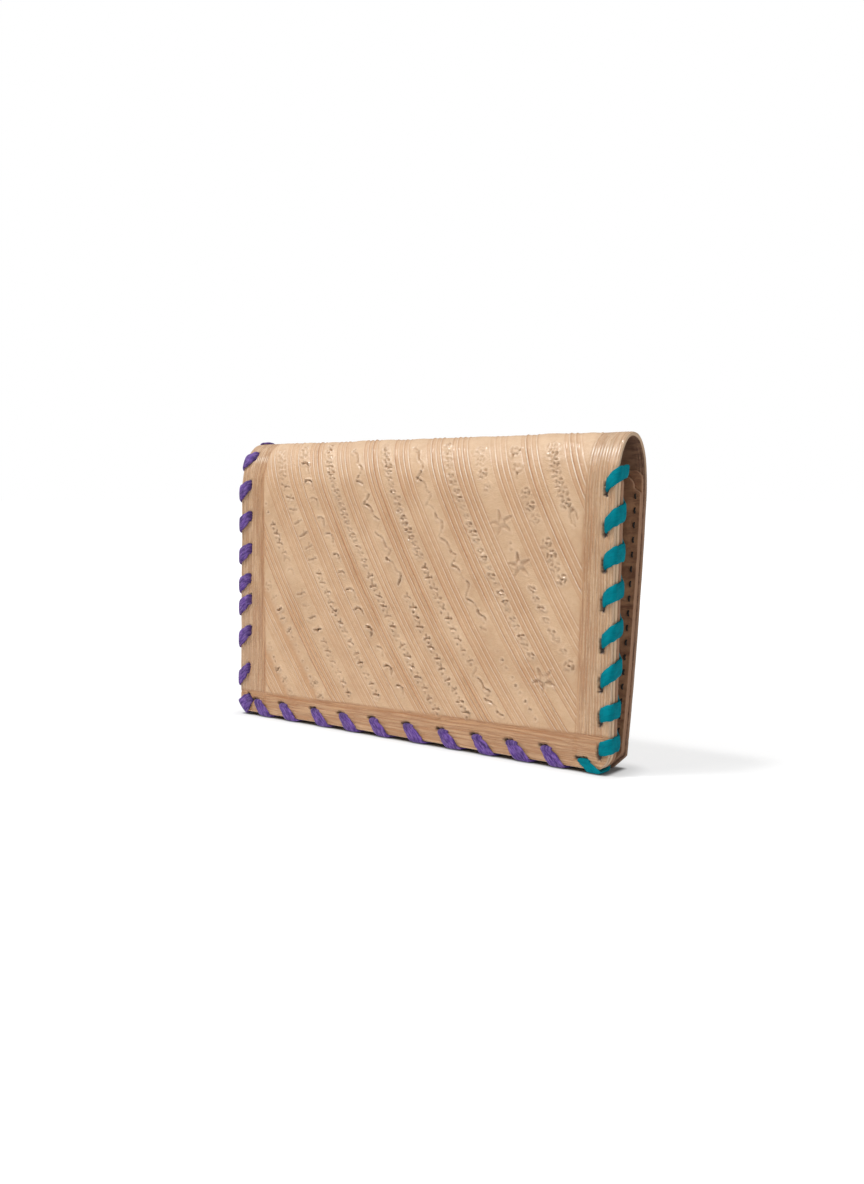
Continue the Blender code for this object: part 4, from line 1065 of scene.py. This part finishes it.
def tube_piece(name, points, faces, lay):
    """A mesh from sheet points, bent onto the clutch, with each point's place along and across it."""
    mesh = bpy.data.meshes.new(name)
    mesh.from_pydata(bend(*points.T), [], faces)
    mesh.shade_smooth()
    put_mark(mesh, "lay", lay)
    return placed_object(name, mesh)


def evened(keys, step):
    """A path's rows taken at even steps along its first three columns, its corners rounded."""
    gone = np.r_[0.0, np.cumsum(np.linalg.norm(np.diff(keys[:, :3], axis=0), axis=1))]
    even = np.linspace(0.0, gone[-1], int(gone[-1] / step))
    rows = np.stack([np.interp(even, gone, column) for column in keys.T], axis=1)
    for _ in range(3):
        rows[1:-1] = rows[:-2] / 4 + rows[1:-1] / 2 + rows[2:] / 4
    return rows, even


def sewing_thread():
    """The running stitch as a round tube: a circle carried along its path, square to it."""
    path, gone = evened(running_stitch(stitch_places()), THREAD_STEP)
    ahead = np.gradient(path, axis=0)
    ahead /= np.linalg.norm(ahead, axis=1)[:, None]
    side = np.cross(ahead, (0.0, 0.0, 1.0)) + 1e-6 * np.cross(ahead, (1.0, 0.3, 0.0))
    side /= np.linalg.norm(side, axis=1)[:, None]
    up = np.cross(side, ahead)
    angle = np.linspace(0.0, 2 * math.pi, THREAD_SIDES, endpoint=False)
    points, faces = rounds(path, THREAD_RADIUS * np.cos(angle)[None, :, None] * side[:, None],
                           THREAD_RADIUS * np.sin(angle)[None, :, None] * up[:, None])
    lay = np.stack(np.broadcast_arrays(gone[:, None], angle[None, :] * THREAD_RADIUS, 0.0), axis=-1)
    return tube_piece("sewing_thread", points, faces, MM * lay.reshape(-1, 3))


def waxed_thread():
    """Dark waxed thread: its plies twist round it, and the wax catches a little light."""
    material, tree, shader = finish_of("waxed_thread")
    lay = mark(tree, "lay", "Vector").drawn((1.0, 1.0, 1.0), turn=0.9)
    twist = node(tree, "TexWave", "Fac", Vector=lay, Scale=900.0, Distortion=1.2, Detail=2.0)
    wire(tree, shader, {"Base Color": twist.lay((0.036, 0.026, 0.020), (0.006, 0.005, 0.004)),
                        "Roughness": twist.steps(0.0, 1.0, 0.75, 0.60), "Specular IOR Level": 0.25,
                        "Normal": twist.bumped(0.6, 0.0001)})
    return material


thread = sewing_thread()
thread.data.materials.append(waxed_thread())
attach(thread, "back")
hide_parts("pocket_stitches")


# The purple lacing: one flat suede lace about 6 mm wide, whip-stitched down the left side, round
# the corner and along the bottom. It is pinched in each hole and spreads out over the edge.
LACE_THICK = 0.85
LACE_CENTRE = 0.48
LACE_SIDES = 20
LACE_STEP = 0.35
LACE_CROWN = 0.14
LACE_SQUARENESS = (0.55, 0.75)
LACE_EDGE_WAVE = 0.035
LACE_UNEVENNESS = 0.05
LACE_WIDTH_SPREAD = 0.035
LACE_SLIP = 0.12


def lace_path(turns, hole_width, edge_width, pinch, seed):
    """Rows of place, face and width direction, width and tuckedness, up each hole, over and round.

    Round the edge of the leathers the lace turns at a constant distance from their two corners.
    """
    dice = np.random.default_rng(seed)
    c = LACE_CENTRE
    quarter = np.radians(np.arange(0.0, 91.0, 22.5))
    keys = []
    for turn in turns:
        m, deep, wrap = turn["inset"], -turn["deep"], -turn["wrap"]
        up = [(m - c + c * math.sin(a), deep - c * math.cos(a), math.sin(a), -math.cos(a)) for a in quarter]
        up += [(m - c + c * math.cos(a), c * math.sin(a), math.cos(a), math.sin(a)) for a in quarter]
        over = [(m * k, c, 0.0, 1.0) for k in (0.75, 0.5, 0.25)]
        over += [(-c * math.sin(a), c * math.cos(a), -math.sin(a), math.cos(a)) for a in quarter]
        over += [(-c * math.cos(a), wrap - c * math.sin(a), -math.cos(a), -math.sin(a)) for a in quarter]
        wide, slip = turn["width"] * dice.normal(1.0, LACE_WIDTH_SPREAD), dice.normal(0.0, LACE_SLIP)
        gone = 0.0
        for k, (inward, h, out_in, out_h) in enumerate(up + over):
            lying = k >= len(up)
            share = min(max(1 - inward / m, 0.0), 1.0) if lying else 0.0
            if lying and k > len(up) + 3:
                gone += math.hypot(inward - last[0], h - last[1])
            last = (inward, h)
            travel = -turn["lean"] * (1 - share) + turn["spread"] * gone + slip
            middle = turn["edge"] + inward * turn["inward"] + travel * turn["travel"]
            width = wide * (hole_width + (edge_width - hole_width) * min(1.3 * share, 1.0))
            tucked = 1 - smooth(-0.3, 1.0, m - inward) if lying else 1.0
            keys.append((*middle, h, *(out_in * turn["inward"]), out_h, *turn["travel"], 0.0,
                         width * (1 - pinch * tucked), tucked))
    return np.array(keys)


def lace_piece(name, turns, hole_width, edge_width, pinch, seed):
    """A lace: a flat superellipse carried along its path, its width kept along the leather's edge."""
    rows, gone = evened(lace_path(turns, hole_width, edge_width, pinch, seed), LACE_STEP)
    middle, out, across, width, tucked = rows[:, :3], rows[:, 3:6], rows[:, 6:9], rows[:, 9], rows[:, 10:]
    out /= np.linalg.norm(out, axis=1)[:, None]
    across /= np.linalg.norm(across, axis=1)[:, None]
    angle = np.linspace(0.0, 2 * math.pi, LACE_SIDES, endpoint=False)
    flat = np.sign(np.cos(angle)) * np.abs(np.cos(angle)) ** LACE_SQUARENESS[0]
    thick = np.sign(np.sin(angle)) * np.abs(np.sin(angle)) ** LACE_SQUARENESS[1]
    edge = 1 + LACE_EDGE_WAVE * np.sin(gone * 1.9 + seed)[:, None] * np.sign(flat)[None, :]
    side = (width / 2)[:, None] * flat[None, :] * edge
    crown = LACE_CROWN * (1 - flat ** 2) * (thick > 0)
    uneven = LACE_UNEVENNESS * ripple(np.repeat(gone[:, None], LACE_SIDES, 1), side, 2.6, seed)
    rise = LACE_THICK / 2 * thick + crown + uneven
    points, faces = rounds(middle, side[..., None] * across[:, None], rise[..., None] * out[:, None])
    lay = np.stack(np.broadcast_arrays(gone[:, None], side, tucked), axis=-1)
    return tube_piece(name, points, faces, lay.reshape(-1, 3) * (MM, MM, 1.0))


# Suede nap: short fibres combed along the lace, in streaks that catch the light.
NAP, (nap_lay, streak_scale), nap_out = new_group(
    "suede_nap", {"Lay": None, "Streaks": 900.0}, ("Height", "Tone", "Streak"))
flat_lay = nap_lay.drawn((1.0, 1.0, 0.0))
combed = flat_lay.drawn((0.30, 1.0, 1.0), turn=0.5).noise(streak_scale, 5.0, 0.68)
wire(NAP, nap_out, {"Height": combed, "Tone": flat_lay.noise(330.0, 3.0, 0.6).steps(0.3, 0.7),
                    "Streak": combed.steps(0.38, 0.68)})


def suede(name, dark, middle, light, smoothest, gleam):
    """Dyed suede: dark between the fibres, lighter in streaks (partly painted sheen), painted shade where
    tucked into holes, and a soft sheen at grazing angles.
    """
    material, tree, shader = finish_of(name)
    lay = mark(tree, "lay", "Vector")
    nap = placed(tree, NAP, Lay=lay, Streaks=1500.0)
    colour = nap["Tone"].lay(middle, dark)
    # lighter streaks of combed fibres: partly the nap's own tone, partly a painted sheen
    colour = (0.50 * nap["Streak"]).lay(light, colour)
    # painted shade: the lace darker where it is tucked into its hole
    colour = (0.35 * lay.part("Z")).lay(tuple(0.35 * c for c in dark), colour)
    wire(tree, shader, {"Base Color": colour, "Roughness": nap["Streak"].steps(0.0, 1.0, 0.85, smoothest),
                        "Normal": nap["Height"].bumped(0.75, 0.00022), "Sheen Weight": gleam / 4,
                        "Sheen Roughness": 0.5, "Specular IOR Level": gleam})
    return material


purple_lacing = lace_piece("purple_lacing", PURPLE_TURNS, hole_width=4.6, edge_width=5.8, pinch=0.15, seed=41)
PURPLE = suede("purple_suede", dark=(0.028, 0.010, 0.085), middle=(0.072, 0.026, 0.200),
               light=(0.330, 0.188, 0.550), smoothest=0.50, gleam=0.30)
purple_lacing.data.materials.append(PURPLE)
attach(purple_lacing, "front")
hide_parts("purple_lace")


# The teal lacing: a softer suede lace up the right side, from a short stitch at the foot.
# Its holes are closer to the edge, so each stitch is mostly the part that wraps round.
teal_lacing = lace_piece("teal_lacing", TEAL_TURNS, hole_width=4.5, edge_width=5.1, pinch=0.0, seed=52)
TEAL = suede("teal_suede", dark=(0.000, 0.130, 0.170), middle=(0.000, 0.185, 0.230),
             light=(0.000, 0.240, 0.285), smoothest=0.90, gleam=0.05)
teal_lacing.data.materials.append(TEAL)
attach(teal_lacing, "front")
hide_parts("teal_lace")


# The crest lacing: one more turn of the purple suede lace, just behind the top of the fold. It
# goes round the cover alone, through one hole near its left edge.
CREST_INSET = 4.2
CREST_BEHIND = 2.5
crest_turn = whip_turn((0, S_CREST + CREST_BEHIND), RIGHT, DOWN, CREST_INSET, 0.0, 0.0)
crest_turn["deep"] = crest_turn["wrap"] = COVER_THICK
crest_lacing = lace_piece("crest_lacing", [crest_turn], hole_width=4.2, edge_width=4.4, pinch=0.15, seed=63)
crest_lacing.data.materials.append(PURPLE)
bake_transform(crest_lacing)
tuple(BACK_START)
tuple(BACK_END)
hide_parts("crest_lace")


# A pale table that keeps the clutch's shadow near it and glows white further off, so that round the
# clutch's foot it carries painted shade as well as the real shadow; soft window light from the left, and
# the camera standing to the right of the front, a little below the height of the fold.
FOOT_MIDDLE = (0.0, -0.0045, 0.0)
FOOTPRINT = (0.0755, 0.0050, 1.0)
TABLE_REACH = 9.0
table_mesh = bpy.data.meshes.new("table")
corners = TABLE_REACH * np.array([(-1, -1, 0), (1, -1, 0), (1, 1, 0), (-1, 1, 0)])
table_mesh.from_pydata(corners, [], [(0, 1, 2, 3)])
table = placed_object("table", table_mesh)
white, tree, shader = finish_of("pale_table")
place = node(tree, "TexCoord", "Object")
# how far a point of the table is from the clutch's footprint: the table's glow for the camera grows with it,
# so the floor is darkest, with painted shade, at the foot
NOUGHT = (0.0, 0.0, 0.0)
beside = place
for operation, other in (("SUBTRACT", FOOT_MIDDLE), ("ABSOLUTE", NOUGHT), ("SUBTRACT", FOOTPRINT),
                         ("MAXIMUM", NOUGHT)):
    beside = node(tree, "VectorMath", 0, {"operation": operation}, _0=beside, _1=other)
away = node(tree, "VectorMath", "Value", {"operation": "LENGTH"}, _0=beside)
# painted shade: no glow at the clutch's foot, which lays a dark line under it, rising to white far off
table_glow = (away.steps(0.0, 0.0025, 0.0, 0.52) + away.steps(0.001, 0.010, 0.0, 0.22)
       + away.steps(0.06, 0.8, 0.0, 0.4))
from_camera = node(tree, "LightPath", "Is Camera Ray")
paper = place.noise(40.0).lay((0.93, 0.93, 0.93), (0.90, 0.90, 0.90))
wire(tree, shader, {"Base Color": from_camera.lay((0.30, 0.30, 0.30), paper), "Roughness": 0.9,
                    "Specular IOR Level": 0.1, "Emission Strength": 1.0,
                    "Emission Color": (table_glow * from_camera).lay((1.0, 1.0, 1.0), (0.0, 0.0, 0.0))})
table.data.materials.append(white)

LAMP_AIM = Vector((0.0, 0.0, 0.05))
for name, place, size, power in (("window", (-0.72, -0.88, 1.35), 0.70, 15.0),
                                 ("ceiling", (-0.25, -0.30, 1.10), 0.12, 7.2),
                                 ("white wall", (1.10, -0.40, 0.70), 1.00, 5.0)):
    lamp = bpy.data.lights.new(name, "AREA")
    lamp.shape, lamp.size, lamp.energy = "SQUARE", size, power
    light = placed_object(name, lamp)
    light.location = place
    light.rotation_euler = (LAMP_AIM - Vector(place)).to_track_quat("-Z", "Y").to_euler()

AIR_LIGHT = 0.27
world = bpy.data.worlds.new("studio")
bpy.context.scene.world = world
world.use_nodes = True
tree = world.node_tree
through = node(tree, "LightPath", "Is Transmission Ray")
seen = node(tree, "LightPath", "Is Camera Ray").maths("MAXIMUM", through)
wire(tree, tree.nodes["Background"].inputs, {"Color": (1.0, 1.0, 1.0),
                                             "Strength": AIR_LIGHT + (1 - AIR_LIGHT) * seen})

lens = bpy.data.cameras.new("camera")
lens.lens, lens.sensor_width = 33.94, 36.0
camera = placed_object("camera", lens)
camera.location = (0.2311, -0.2828 - DEPTH_CENTRE * MM, 0.0823)
camera.rotation_euler = (math.radians(84.89), 0.0, math.radians(37.65))
bpy.context.scene.camera = camera
bpy.context.scene.view_settings.view_transform = "Standard"
